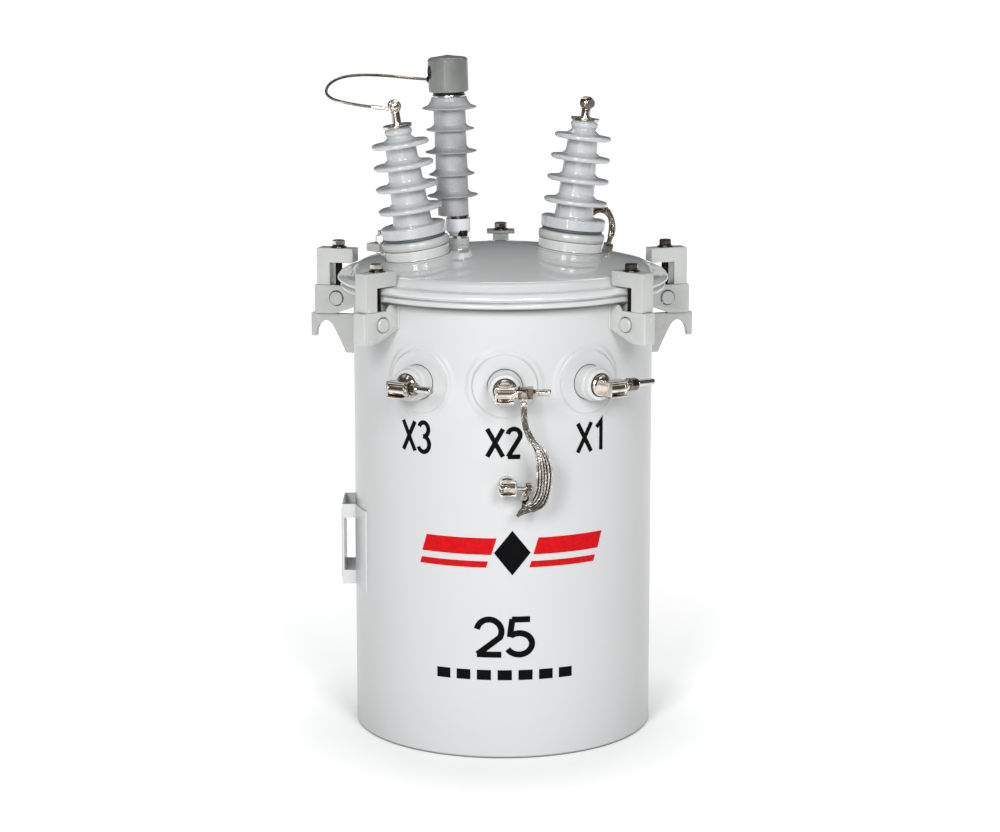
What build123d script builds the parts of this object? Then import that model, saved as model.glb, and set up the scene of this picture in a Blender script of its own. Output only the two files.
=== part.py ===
from build123d import *
import math
import os

# Pole mounted distribution transformer, single phase, two cover bushings.
# Millimetres, +Z up. Origin: centre of the tank's foot ring, on the floor.
# -Y is the low-voltage side (front), +Y is the pole side, +X is to the right
# of someone who faces the low-voltage side.

os.makedirs("parts", exist_ok=True)

# ---------------------------------------------------------------- dimensions
tank_r = 235.0            # outside radius of the tank
wall_t = 3.0              # tank sheet
tank_top = 709.0          # top edge of the tank wall
bottom_z = 14.0           # underside of the recessed bottom plate
bottom_t = 4.0

rim_r = 255.0             # rolled rim of the tank mouth
rim_z0 = 698.0
gasket_t = 3.0
gasket_r0, gasket_r1 = 238.0, 254.5

cover_apex = 764.5        # top of the cover's dome
dome_rs = 950.0           # radius of the dome
shoulder_r = 22.0         # rounding between dome and side of the cover
cover_wall_r = 238.5
bead_r = 259.5            # rolled edge of the cover
bead_top = 725.0
cover_t = 3.0

# cover clamps: azimuth from the front, positive towards +X
clamp_az = {
    "front_left": -45.2,
    "front_right": 46.4,
    "side_left": -108.2,
    "side_right": 110.0,
    "rear": 180.8,
}
# radius of each clamp bolt's axis
clamp_r = {"front_left": 267.0, "front_right": 267.0, "side_left": 276.5, "side_right": 276.5, "rear": 276.5}
clamp_w = 25.5            # jaw width
jaw_in, jaw_out = -28.5, 33.0        # from the bolt's axis, outwards
jaw_top, jaw_under = 748.5, 725.6
leg_t, leg_bottom = 22.0, 689.5
clamp_bolt_d = 12.0
bracket_w = 25.0
bracket_t = 5.0
bracket_out = 38.0        # from the bolt's axis, outwards
bracket_low, bracket_high = 640.0, 689.0
pin_d, pin_z = 22.5, 668.5
rear_plate_t = 4.5        # wide washer plate on the rear jaw

# high-voltage bushings: foot on the dome and direction of the axis
hv_left_foot = (-132.0, -48.0)
hv_left_dir = (-0.151, -0.020, 1.0)
hv_right_foot = (105.0, 0.0)
hv_right_dir = (0.112, 0.020, 1.0)

# arrester
arr_foot = (-70.0, 38.0)         # boss and hanger
arr_dir = (-0.020, 0.0, 1.0)
arr_body_foot = (-76.5, 38.0)    # the housing stands off the hanger's axis
arr_body_dir = (-0.035, 0.0, 1.0)

# low-voltage bushings: azimuth, and height on the tank
lv_az = {"x3": -32.5, "x2": 0.7, "x1": 33.0}
lv_z = 582.5
stud_d = 9.5

# pole brackets
hanger_spacing = 285.75
hanger_z_top = 590.0
hanger_face_y = 300.0
hanger_slot_w = 18.0
hanger_slot_l = 50.0


# ------------------------------------------------------------------- helpers
def dome_z(x, y):
    return cover_apex - dome_rs + math.sqrt(dome_rs**2 - x * x - y * y)


def dome_pt(r, off=0.0):
    # a point on the dome's outside, moved inwards by off along the normal
    t = math.asin(r / dome_rs)
    return ((dome_rs - off) * math.sin(t), cover_apex - dome_rs + (dome_rs - off) * math.cos(t))


def radial(az):
    a = math.radians(az)
    return Vector(math.sin(a), -math.cos(a), 0)


def radial_plane(az, shift=0.0):
    # local X points outwards, local Y is up, the normal runs along the wall
    r = radial(az)
    n = r.cross(Vector(0, 0, 1))
    return Plane(origin=n * shift, x_dir=r, z_dir=n)


def wall_plane(az, z, r):
    # a plane square to the radius: local X along the wall, local Y up, normal outwards
    d = radial(az)
    return Plane(origin=Vector(d.X * r, d.Y * r, z), x_dir=Vector(0, 0, 1).cross(d), z_dir=d)


def stand_plane(foot, direction):
    # an axis plane through a leaning axis: local Y runs up the axis
    d = Vector(*direction).normalized()
    side = Vector(1, 0, 0) - d * d.X
    side = side.normalized()
    o = Vector(foot[0], foot[1], dome_z(*foot))
    return Plane(origin=o, x_dir=side, z_dir=side.cross(d))


def along(foot, direction, s):
    d = Vector(*direction).normalized()
    o = Vector(foot[0], foot[1], dome_z(*foot))
    return o + d * s


# ---------------------------------------------------------------------- tank
with BuildPart() as tank_wall:
    with BuildSketch(Plane.XY):
        Circle(tank_r)
        Circle(tank_r - wall_t, mode=Mode.SUBTRACT)
    extrude(amount=tank_top)
tank_wall.part.label = "tank_wall"
export_step(tank_wall.part, "parts/tank_wall.step")

with BuildPart() as tank_bottom:
    with BuildSketch(Plane.XY.offset(bottom_z)):
        Circle(tank_r - wall_t)
    extrude(amount=bottom_t)
tank_bottom.part.label = "tank_bottom"
export_step(tank_bottom.part, "parts/tank_bottom.step")

with BuildPart() as tank_rim:
    with BuildSketch(Plane.XZ) as rim_profile:
        with BuildLine():
            Polyline(
                (tank_r, rim_z0),
                (rim_r, rim_z0),
                (rim_r, tank_top),
                (tank_r, tank_top),
                (tank_r, rim_z0),
            )
        make_face()
        outer = rim_profile.vertices().group_by(Axis.X)[-1]
        fillet(outer, radius=5.0)
    revolve(axis=Axis.Z)
tank_rim.part.label = "tank_rim"
export_step(tank_rim.part, "parts/tank_rim.step")

with BuildPart() as cover_gasket:
    with BuildSketch(Plane.XY.offset(tank_top)):
        Circle(gasket_r1)
        Circle(gasket_r0, mode=Mode.SUBTRACT)
    extrude(amount=gasket_t)
cover_gasket.part.label = "cover_gasket"
export_step(cover_gasket.part, "parts/cover_gasket.step")

# cover: dome, rounded shoulder, short side, rolled bead that sits on the gasket
gz = tank_top + gasket_t
tip = 1.5                                   # tiny flat at the apex
rc = cover_wall_r - shoulder_r              # centre of the shoulder's rounding
th = math.asin(rc / (dome_rs - shoulder_r))
zc = cover_apex - dome_rs + (dome_rs - shoulder_r) * math.cos(th)
a_end = math.pi / 2 if zc >= bead_top else math.acos((bead_top - zc) / shoulder_r)


def shoulder(angle, off=0.0):
    return (rc + (shoulder_r - off) * math.sin(angle), zc + (shoulder_r - off) * math.cos(angle))


with BuildPart() as cover:
    with BuildSketch(Plane.XZ):
        with BuildLine():
            r_t = dome_rs * math.sin(th)
            top_a = dome_pt(tip)
            ThreePointArc(top_a, dome_pt(r_t * 0.5), shoulder(th))
            p_end = shoulder(a_end)
            ThreePointArc(shoulder(th), shoulder((th + a_end) / 2), p_end)
            # rolled bead
            b_in = (cover_wall_r + 5.0, p_end[1] - 0.6)
            Line(p_end, b_in)
            ThreePointArc(b_in, (bead_r - 3.4, bead_top - 3.8), (bead_r, 717.5))
            ThreePointArc((bead_r, 717.5), (bead_r - 1.6, 713.8), (bead_r - 5.5, gz))
            q0 = (rc + shoulder_r - cover_t, gz)
            Line((bead_r - 5.5, gz), q0)
            q1 = shoulder(math.pi / 2, cover_t) if zc > gz else (q0[0], gz + 0.5)
            Line(q0, q1)
            q3 = shoulder(th, cover_t)
            ThreePointArc(q1, shoulder((th + math.pi / 2) / 2, cover_t), q3)
            low_a = dome_pt(tip, cover_t)
            ThreePointArc(q3, dome_pt(r_t * 0.5, cover_t), low_a)
            Line(low_a, (0, low_a[1]))
            Line((0, low_a[1]), (0, top_a[1]))
            Line((0, top_a[1]), top_a)
        make_face()
    revolve(axis=Axis.Z)
cover.part.label = "cover"
export_step(cover.part, "parts/cover.step")

# -------------------------------------------------------------- cover clamps
clamp_jaw_list = []
clamp_bracket_list = []


def bolt_xy(name):
    d = radial(clamp_az[name])
    return (d.X * clamp_r[name], d.Y * clamp_r[name])


for name, az in clamp_az.items():
    rb = clamp_r[name]
    low = 642.6 if name.startswith("side") else bracket_low      # the side brackets stand on the lifting lugs
    # jaw: an inverted L that hooks over the bead of the cover
    with BuildPart() as jaw:
        with BuildSketch(radial_plane(az)):
            with BuildLine():
                Polyline(
                    (rb + jaw_in, jaw_under),
                    (rb + jaw_in, jaw_top),
                    (rb + jaw_out, jaw_top),
                    (rb + jaw_out, leg_bottom),
                    (rb + jaw_out - leg_t, leg_bottom),
                    (rb + jaw_out - leg_t, jaw_under),
                    (rb + jaw_in, jaw_under),
                )
            make_face()
        extrude(amount=clamp_w / 2, both=True)
        upright = jaw.edges().filter_by(Axis.Z).group_by(SortBy.LENGTH)[-1]
        fillet(upright, radius=2.5)
        if name == "rear":
            with BuildSketch(radial_plane(az)):
                with BuildLine():
                    Polyline(
                        (rb - 19, jaw_top), (rb - 19, jaw_top + rear_plate_t), (rb + 19, jaw_top + rear_plate_t),
                        (rb + 19, jaw_top), (rb - 19, jaw_top),
                    )
                make_face()
            extrude(amount=23, both=True)
        with BuildSketch(Plane.XY.offset(jaw_top + rear_plate_t + 1)):
            with Locations(bolt_xy(name)):
                Circle(clamp_bolt_d / 2 + 0.5)
        extrude(amount=-(jaw_top + rear_plate_t + 1 - jaw_under), mode=Mode.SUBTRACT)
    clamp_jaw_list.append(jaw.part)

    # bracket: folded plate, open towards the tank, welded to the wall under the rim
    with BuildPart() as bracket:
        with BuildSketch(radial_plane(az)):
            with BuildLine():
                Polyline(
                    (tank_r - 4, 659),
                    (236.0, 659),
                    (279.0, low + 1.0),
                    (rb + bracket_out, low),
                    (rb + bracket_out, bracket_high),
                    (258.0, bracket_high),
                    (251.0, rim_z0 - 0.4),
                    (tank_r - 4, rim_z0 - 0.4),
                    (tank_r - 4, 659),
                )
            make_face()
        extrude(amount=bracket_w / 2, both=True)
        with BuildSketch(radial_plane(az)):
            with BuildLine():
                Polyline(
                    (tank_r - 10, 600),
                    (rb + bracket_out - bracket_t, 600),
                    (rb + bracket_out - bracket_t, bracket_high - bracket_t),
                    (256, bracket_high - bracket_t),
                    (256, rim_z0 + 5),
                    (tank_r - 10, rim_z0 + 5),
                    (tank_r - 10, 600),
                )
            make_face()
        extrude(amount=bracket_w / 2 - bracket_t, both=True, mode=Mode.SUBTRACT)
        with BuildSketch(Plane.XY.offset(705)):
            with Locations(bolt_xy(name)):
                Circle(clamp_bolt_d / 2 + 0.5)
        extrude(amount=-25, mode=Mode.SUBTRACT)
        with BuildSketch(radial_plane(az)):
            with Locations((rb, pin_z)):
                Circle(pin_d / 2 - 3.0)
        extrude(amount=30, both=True, mode=Mode.SUBTRACT)
        with BuildSketch(Plane.XY.offset(600)):
            Circle(tank_r)
        extrude(amount=110, mode=Mode.SUBTRACT)
    clamp_bracket_list.append(bracket.part)

with BuildPart() as clamp_jaws:
    for one in clamp_jaw_list:
        add(one)
clamp_jaws.part.label = "clamp_jaws"
export_step(clamp_jaws.part, "parts/clamp_jaws.step")

with BuildPart() as clamp_brackets:
    for one in clamp_bracket_list:
        add(one)
clamp_brackets.part.label = "clamp_brackets"
export_step(clamp_brackets.part, "parts/clamp_brackets.step")

# round pins across the brackets; the clamp bolts screw into them
with BuildPart() as clamp_pins:
    for name, az in clamp_az.items():
        rb = clamp_r[name]
        with BuildSketch(radial_plane(az, bracket_w / 2)):
            with Locations((rb, pin_z)):
                Circle(pin_d / 2)
        extrude(amount=3.0)
        with BuildSketch(radial_plane(az, -bracket_w / 2)):
            with Locations((rb, pin_z)):
                Circle(pin_d / 2)
        extrude(amount=-3.0)
        with BuildSketch(radial_plane(az, 0)):
            with Locations((rb, pin_z)):
                Circle(pin_d / 2 - 3.3)
        extrude(amount=bracket_w / 2, both=True)
        with BuildSketch(Plane.XY.offset(pin_z)):
            with Locations(bolt_xy(name)):
                Circle(clamp_bolt_d / 2)
        extrude(amount=12, mode=Mode.SUBTRACT)
clamp_pins.part.label = "clamp_pins"
export_step(clamp_pins.part, "parts/clamp_pins.step")

# clamp bolts: flat washer, spring washer, hexagon head and shank, one solid each
with BuildPart() as clamp_bolts:
    for name in clamp_az:
        c = bolt_xy(name)
        seat = jaw_top + (rear_plate_t if name == "rear" else 0.0)
        with BuildSketch(Plane.XY.offset(seat)):
            with Locations(c):
                Circle(13.0)
        extrude(amount=2.2)
        with BuildSketch(Plane.XY.offset(seat + 2.2)):
            with Locations(c):
                Circle(9.6)
        extrude(amount=2.8)
        with BuildSketch(Plane.XY.offset(seat + 5.0)):
            with Locations(c):
                RegularPolygon(10.6, 6, rotation=20)
        extrude(amount=7.5)
        with BuildSketch(Plane.XY.offset(seat)):
            with Locations(c):
                Circle(clamp_bolt_d / 2)
        extrude(amount=-(seat - pin_z - 0.2))
clamp_bolts.part.label = "clamp_bolts"
export_step(clamp_bolts.part, "parts/clamp_bolts.step")

# ------------------------------------------------------------- lifting lugs
for name, az in (("left", -108.2), ("right", 110.0)):
    with BuildPart() as lug:
        with BuildSketch(radial_plane(az)):
            with BuildLine():
                Polyline(
                    (tank_r - 0.5, 642.5),
                    (323.3, 642.5),
                    (323.3, 604.5),
                    (314.6, 604.5),
                    (313.2, 615.5),
                    (309.3, 623.8),
                    (303.8, 628.8),
                    (296.8, 631.0),
                    (290.0, 628.0),
                    (285.4, 621.7),
                    (280.9, 613.5),
                    (272.0, 596.5),
                    (264.0, 579.5),
                    (tank_r - 0.5, 579.5),
                    (tank_r - 0.5, 642.5),
                )
            make_face()
        extrude(amount=5.0, both=True)
        # thicker foot where the lug is welded to the wall
        with BuildSketch(radial_plane(az)):
            with BuildLine():
                Polyline((tank_r - 0.5, 579.5), (252.0, 579.5), (252.0, 642.5), (tank_r - 0.5, 642.5), (tank_r - 0.5, 579.5))
            make_face()
        extrude(amount=8.5, both=True)
        with BuildSketch(Plane.XY.offset(560)):
            Circle(tank_r)
        extrude(amount=120, mode=Mode.SUBTRACT)
    lug.part.label = "lifting_lug_" + name
    export_step(lug.part, "parts/lifting_lug_" + name + ".step")

# ------------------------------------------------------ high-voltage bushings
hv_cuts = {"left": (hv_left_foot, hv_left_dir), "right": (hv_right_foot, hv_right_dir)}
hv_boss_list = []
hv_ring_list = []
hv_gasket_list = []
hv_cap_list = []
for name, (foot, direction) in hv_cuts.items():
    pl = stand_plane(foot, direction)
    ax = Axis(pl.origin, Vector(*direction))

    # boss: raised seat of the cover; its foot follows the dome
    with BuildPart() as boss:
        with BuildSketch(pl):
            with BuildLine():
                Polyline((0, -16), (50.5, -16), (50.5, 14.0), (0, 14.0), (0, -16))
            make_face()
        revolve(axis=ax)
        with Locations((0, 0, cover_apex - dome_rs)):
            Sphere(dome_rs, mode=Mode.SUBTRACT)
    hv_boss_list.append(boss.part)

    with BuildPart() as ring:
        with BuildSketch(pl):
            with BuildLine():
                Polyline((0, 14), (52.5, 14), (52.5, 28), (0, 28), (0, 14))
            make_face()
        revolve(axis=ax)
        edges = ring.edges().filter_by(GeomType.CIRCLE)
        fillet(edges, radius=4.0)
    hv_ring_list.append(ring.part)

    with BuildPart() as pad:
        with BuildSketch(pl):
            with BuildLine():
                Polyline((0, 28), (47.5, 28), (47.5, 33), (0, 33), (0, 28))
            make_face()
        revolve(axis=ax)
    hv_gasket_list.append(pad.part)

    # porcelain: collar, four sheds on a core that widens downwards, neck
    with BuildPart() as porcelain:
        with BuildSketch(pl) as prof:
            with BuildLine():
                pts = [(0, 33), (50.5, 33), (50.5, 49.0), (29.5, 53.0)]
                sheds = [(79.0, 50.0, 27.8), (113.5, 48.8, 26.2), (147.0, 46.8, 24.2), (180.0, 44.6, 22.8)]
                prev = 29.5
                for s, r, core in sheds:
                    pts += [(prev - 0.8, s - 3.5), (r, s - 5.5), (r, s - 1.0), (core + 4, s + 7.0)]
                    prev = core
                pts += [(20.5, 189.0), (21.5, 192.0), (21.5, 198.0), (19.0, 201.0), (0, 201.0), (0, 33)]
                Polyline(*pts)
            make_face()
        revolve(axis=ax)
    porcelain.part.label = "hv_porcelain_" + name
    export_step(porcelain.part, "parts/hv_porcelain_" + name + ".step")

    # cap plate and round shank
    with BuildPart() as cap:
        with BuildSketch(pl):
            with BuildLine():
                Polyline((0, 201), (22.5, 201), (22.5, 204.5), (9, 206.5), (7.3, 209), (7.0, 216), (0, 216), (0, 201))
            make_face()
        revolve(axis=ax)
    hv_cap_list.append(cap.part)

for label, pieces in (
    ("hv_bosses", hv_boss_list),
    ("hv_seat_rings", hv_ring_list),
    ("hv_gaskets", hv_gasket_list),
    ("hv_caps", hv_cap_list),
):
    with BuildPart() as pair:
        for one in pieces:
            add(one)
    pair.part.label = label
    export_step(pair.part, "parts/" + label + ".step")

# eye terminals
eye_r = 10.5
eye_hole = 5.5
hv_left_eye = 234.0
hv_right_eye = 228.5
with BuildPart() as terminal_left:
    d = Vector(*hv_left_dir).normalized()
    c = along(hv_left_foot, hv_left_dir, hv_left_eye)
    face = Plane(origin=c, x_dir=Vector(1, 0, 0), z_dir=Vector(0.15, -1, 0).normalized())
    with BuildSketch(face):
        Circle(eye_r)
        Circle(eye_hole, mode=Mode.SUBTRACT)
    extrude(amount=6.5, both=True)
    with BuildSketch(Plane(origin=along(hv_left_foot, hv_left_dir, 216), x_dir=Vector(1, 0, 0), z_dir=d)):
        Circle(7.0)
    extrude(amount=10.0)
    with BuildSketch(face):
        Circle(eye_hole)
    extrude(amount=12, both=True, mode=Mode.SUBTRACT)
terminal_left.part.label = "hv_terminal_left"
export_step(terminal_left.part, "parts/hv_terminal_left.step")

with BuildPart() as terminal_right:
    d = Vector(*hv_right_dir).normalized()
    c = along(hv_right_foot, hv_right_dir, hv_right_eye)
    face = Plane(origin=c, x_dir=Vector(1, 0, 0), z_dir=Vector(0.85, -1, 0).normalized())
    with BuildSketch(face):
        Circle(eye_r)
        Circle(eye_hole, mode=Mode.SUBTRACT)
    extrude(amount=6.5, both=True)
    with BuildSketch(Plane(origin=along(hv_right_foot, hv_right_dir, 216), x_dir=Vector(1, 0, 0), z_dir=d)):
        Circle(7.0)
    extrude(amount=5.0)
    with BuildSketch(face):
        Circle(eye_hole)
    extrude(amount=12, both=True, mode=Mode.SUBTRACT)
terminal_right.part.label = "hv_terminal_right"
export_step(terminal_right.part, "parts/hv_terminal_right.step")

for name, (foot, direction), s_ in (
    ("left", hv_cuts["left"], hv_left_eye),
    ("right", hv_cuts["right"], hv_right_eye),
):
    e = along(foot, direction, s_)
    print("eye", name, round(e.X, 2), round(e.Y, 2), round(e.Z, 2))

# ------------------------------------------------------------------ arrester
apl = stand_plane(arr_foot, arr_dir)
aax = Axis(apl.origin, Vector(*arr_dir))
bpl = stand_plane(arr_body_foot, arr_body_dir)
bax = Axis(bpl.origin, Vector(*arr_body_dir))


def turned(label, plane, axis, points):
    with BuildPart() as piece:
        with BuildSketch(plane):
            with BuildLine():
                Polyline(*points, points[0])
            make_face()
        revolve(axis=axis)
    piece.part.label = label
    export_step(piece.part, "parts/" + label + ".step")


with BuildPart() as arr_boss:
    with BuildSketch(apl):
        with BuildLine():
            Polyline((0, -8), (17.0, -8), (17.0, 10), (0, 10), (0, -8))
        make_face()
    revolve(axis=aax)
    with Locations((0, 0, cover_apex - dome_rs)):
        Sphere(dome_rs, mode=Mode.SUBTRACT)
arr_boss.part.label = "arrester_boss"
export_step(arr_boss.part, "parts/arrester_boss.step")

turned("arrester_ring", apl, aax, [(0, 10), (15.5, 10), (15.5, 14), (0, 14)])

with BuildPart() as hanger_block:
    with BuildSketch(apl):
        with BuildLine():
            Polyline((0, 14), (12.5, 14), (19.2, 21.5), (19.2, 41), (0, 41), (0, 14))
        make_face()
    revolve(axis=aax)
    with BuildSketch(Plane(origin=along(arr_foot, arr_dir, 10) + Vector(7.0, -13.0, 0), x_dir=(1, 0, 0), z_dir=Vector(*arr_dir).normalized())):
        Circle(7.6)
    extrude(amount=13.0, mode=Mode.SUBTRACT)
hanger_block.part.label = "arrester_hanger"
export_step(hanger_block.part, "parts/arrester_hanger.step")

with BuildPart() as disconnector:
    with BuildSketch(Plane(origin=along(arr_foot, arr_dir, 14.4) + Vector(7.0, -13.0, 0), x_dir=(1, 0, 0), z_dir=Vector(*arr_dir).normalized())):
        Circle(7.6)
    extrude(amount=8.6)
    fillet(disconnector.faces().sort_by(Axis.Z)[-1].edges(), radius=3.5)
disconnector.part.label = "arrester_disconnector"
export_step(disconnector.part, "parts/arrester_disconnector.step")

with BuildPart() as end_plate:
    with BuildSketch(Plane(origin=along(arr_foot, arr_dir, 41), x_dir=(1, 0, 0), z_dir=Vector(*arr_dir).normalized())):
        Circle(17.5)
    extrude(amount=4.5)
end_plate.part.label = "arrester_end_plate"
export_step(end_plate.part, "parts/arrester_end_plate.step")

arr_pts = [(0, 46.6), (24.3, 46.6), (24.3, 72)]
for s_, r_ in ((79.0, 40.6), (112.5, 36.6), (148.0, 41.0), (183.0, 38.4), (217.0, 43.0)):
    arr_pts += [(25.2, s_ - 3.6), (r_, s_ - 1.2), (r_, s_ + 0.8), (26.4, s_ + 6.0)]
arr_pts = arr_pts[:-1] + [(30.0, s_ + 6.0), (23.5, 232.5), (0, 232.5)]
turned("arrester_housing", bpl, bax, arr_pts)
turned("arrester_cap_ring", bpl, bax, [(0, 232.5), (20.0, 232.5), (20.0, 240.5), (0, 240.5)])

cap_s0, cap_s1 = 240.5, 298.0
grommet_s = 270.0
with BuildPart() as guard_cap:
    with BuildSketch(bpl):
        with BuildLine():
            Polyline((0, cap_s0), (31.4, cap_s0), (31.4, cap_s1 - 8))
            ThreePointArc((31.4, cap_s1 - 8), (30.2, cap_s1 - 5.2), (27.2, cap_s1 - 4.0))
            Polyline((27.2, cap_s1 - 4.0), (10.0, cap_s1 - 1.6), (0, cap_s1), (0, cap_s0))
        make_face()
    revolve(axis=bax)
guard_cap.part.label = "arrester_guard_cap"
export_step(guard_cap.part, "parts/arrester_guard_cap.step")

# ------------------------------------------------------- free cables
# arrester lead: stranded wire from the guard cap to the left bushing's eye
lead_d = 4.6
lead_route = [
    (-119.6, 36.5, 1020.3), (-148.5, 33.0, 1022.6), (-179.4, 28.0, 1026.3), (-211.8, 20.5, 1028.3),
    (-237.0, 13.0, 1027.7), (-256.9, 4.0, 1023.8), (-270.4, -8.0, 1015.4), (-274.4, -25.5, 1003.6),
    (-262.3, -39.0, 994.8), (-240.6, -47.0, 990.2), (-220.2, -50.5, 986.9), (-201.4, -52.5, 984.6),
]
# bonding strap behind the right bushing, from its seat ring down to the cover
bond_d = 7.0
bond_route = [
    (128.5, 66.0, 781.0), (130.5, 68.5, 794.0), (137.5, 71.5, 806.5), (150.0, 75.0, 814.0),
    (163.0, 79.0, 811.0), (172.0, 83.0, 799.0), (175.0, 87.0, 782.0), (172.6, 91.5, 765.0), (169.0, 95.5, 752.2),
]
# ground strap: flat braid from the middle low-voltage stud to the ground stud
strap_d = 6.0
strap_route = [
    (31.2, -289.0, 571.0), (31.2, -289.0, 555.5), (31.7, -292.0, 539.5), (35.7, -293.0, 524.5), (44.2, -293.0, 510.0),
    (53.6, -292.0, 496.0), (60.0, -290.0, 479.5), (62.0, -287.0, 459.5), (61.4, -283.0, 439.0),
    (57.5, -279.0, 420.5), (47.0, -275.5, 407.0), (34.0, -274.0, 403.0), (22.0, -273.0, 391.5),
]


def bends(route, share=0.45):
    out = []
    for i in range(1, len(route) - 1):
        a = Vector(*route[i]) - Vector(*route[i - 1])
        b = Vector(*route[i + 1]) - Vector(*route[i])
        half = math.radians(a.get_angle(b)) / 2
        out.append(share * min(a.length, b.length) / math.tan(half))
    return out


for label, route, dia in (
    ("arrester_lead", lead_route, lead_d),
    ("bonding_strap", bond_route, bond_d),
    ("ground_strap", strap_route, strap_d),
):
    rad = bends(route)
    with BuildPart() as cable:
        with BuildLine() as path:
            FilletPolyline(*route, radius=rad)
        start = Vector(*route[1]) - Vector(*route[0])
        with BuildSketch(Plane(origin=route[0], z_dir=start)):
            Circle(dia / 2)
        sweep(path=path.wires()[0])
    length = path.wires()[0].length
    print(label, "length", round(length, 1), "radii", [round(r, 1) for r in rad],
          "volume ratio", round(cable.part.volume / (length * math.pi * dia * dia / 4), 4))
    cable.part.label = label
    export_step(cable.part, "parts/" + label + ".step")

# lead's grommet in the guard cap's side, and its lug on the bushing's eye
with BuildPart() as grommet:
    g = Vector(*lead_route[0])
    d = (Vector(*lead_route[1]) - g).normalized()
    with BuildSketch(Plane(origin=g - d * 9.0, x_dir=(0, 1, 0), z_dir=d)):
        Circle(5.5)
    extrude(amount=9.0)
    add(guard_cap.part, mode=Mode.SUBTRACT)
grommet.part.label = "lead_grommet"
export_step(grommet.part, "parts/lead_grommet.step")

with BuildPart() as lead_lug:
    g = Vector(*lead_route[-1])
    d = (Vector(*lead_route[-1]) - Vector(*lead_route[-2])).normalized()
    with BuildSketch(Plane(origin=g, x_dir=(0, 1, 0), z_dir=d)):
        Circle(3.6)
    extrude(amount=16.0)
    with BuildSketch(Plane(origin=g + d * 16.0, x_dir=(0, 1, 0), z_dir=d)):
        Circle(2.6)
    extrude(amount=12.5)
    add(terminal_left.part, mode=Mode.SUBTRACT)
lead_lug.part.label = "lead_lug"
export_step(lead_lug.part, "parts/lead_lug.step")

# bonding strap's two lugs
with BuildPart() as bond_lugs:
    g = Vector(*bond_route[0])
    d = (Vector(*bond_route[1]) - g).normalized()
    with BuildSketch(Plane(origin=g, x_dir=(1, 0, 0), z_dir=d)):
        RectangleRounded(11, 6, 2)
    extrude(amount=-12)
    g = Vector(*bond_route[-1])
    d = (g - Vector(*bond_route[-2])).normalized()
    with BuildSketch(Plane(origin=g, x_dir=(1, 0, 0), z_dir=d)):
        RectangleRounded(16, 12, 3)
    extrude(amount=9)
    with Locations((0, 0, cover_apex - dome_rs)):
        Sphere(dome_rs, mode=Mode.SUBTRACT)
bond_lugs.part.label = "bonding_lugs"
export_step(bond_lugs.part, "parts/bonding_lugs.step")

# ------------------------------------------------------- low-voltage bushings
with BuildPart() as lv_bosses:
    for az in lv_az.values():
        with BuildSketch(wall_plane(az, lv_z, tank_r - 14)):
            Circle(54.0)
        extrude(amount=14 + 3.0, taper=12)
    with BuildSketch(Plane.XY.offset(480)):
        Circle(tank_r)
    extrude(amount=220, mode=Mode.SUBTRACT)
lv_bosses.part.label = "lv_bosses"
export_step(lv_bosses.part, "parts/lv_bosses.step")

# connector's block along the wall (from, to), then its collar, nut and rod
lv_block = {"x3": (-17.0, 13.9, 9.5, 26.0), "x2": (-15.4, 13.9, 9.5, 26.0), "x1": (-2.0, 29.5, 13.5, 31.5)}
lv_con_list = []
lv_stud_list = []
lv_por_list = []
for name, az in lv_az.items():
    with BuildPart() as lvp:
        with BuildSketch(wall_plane(az, lv_z, tank_r + 3.0)):
            Circle(26.0)
        extrude(amount=6)
        with BuildSketch(wall_plane(az, lv_z, tank_r + 9.0)):
            Circle(26.5)
        extrude(amount=16)
        with BuildSketch(wall_plane(az, lv_z, tank_r + 25.0)):
            Circle(23.5)
        extrude(amount=11)
    lv_por_list.append(lvp.part)

    # clamp connector on the bushing's stem; its own stud points along the wall
    d = radial(az)
    t = Vector(0, 0, 1).cross(d)
    with BuildPart() as con:
        b0, b1, nut_h, rod_l = lv_block[name]
        with BuildSketch(wall_plane(az, lv_z, tank_r + 36.0)):
            Circle(16.0)
        extrude(amount=6)
        with BuildSketch(wall_plane(az, lv_z, tank_r + 42.0)):
            with Locations(((b0 + b1) / 2, -3.75)):
                RectangleRounded(b1 - b0, 24.5, 1.5)
        extrude(amount=23)
        o = Vector(d.X * (tank_r + 54), d.Y * (tank_r + 54), lv_z) + t * b1
        with BuildSketch(Plane(origin=o, x_dir=Vector(0, 0, 1), z_dir=t)):
            Circle(9.0)
        extrude(amount=9.0)
    lv_con_list.append(con.part)

    with BuildPart() as bolt:
        gap = 9.2 if name == "x2" else 0.0
        o = Vector(d.X * (tank_r + 54), d.Y * (tank_r + 54), lv_z) + t * (b1 + 9.0)
        pl = Plane(origin=o, x_dir=Vector(0, 0, 1), z_dir=t)
        if gap:
            with BuildSketch(pl):
                Circle(stud_d / 2)
            extrude(amount=gap)
        with BuildSketch(pl.offset(gap)):
            RegularPolygon(9.8, 6)
        extrude(amount=nut_h)
        with BuildSketch(pl.offset(gap + nut_h)):
            Circle(stud_d / 2)
        extrude(amount=rod_l)
    lv_stud_list.append(bolt.part)

for label, pieces in (("lv_porcelains", lv_por_list), ("lv_connectors", lv_con_list), ("lv_studs", lv_stud_list)):
    with BuildPart() as trio:
        for one in pieces:
            add(one)
    trio.part.label = label
    export_step(trio.part, "parts/" + label + ".step")

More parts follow.
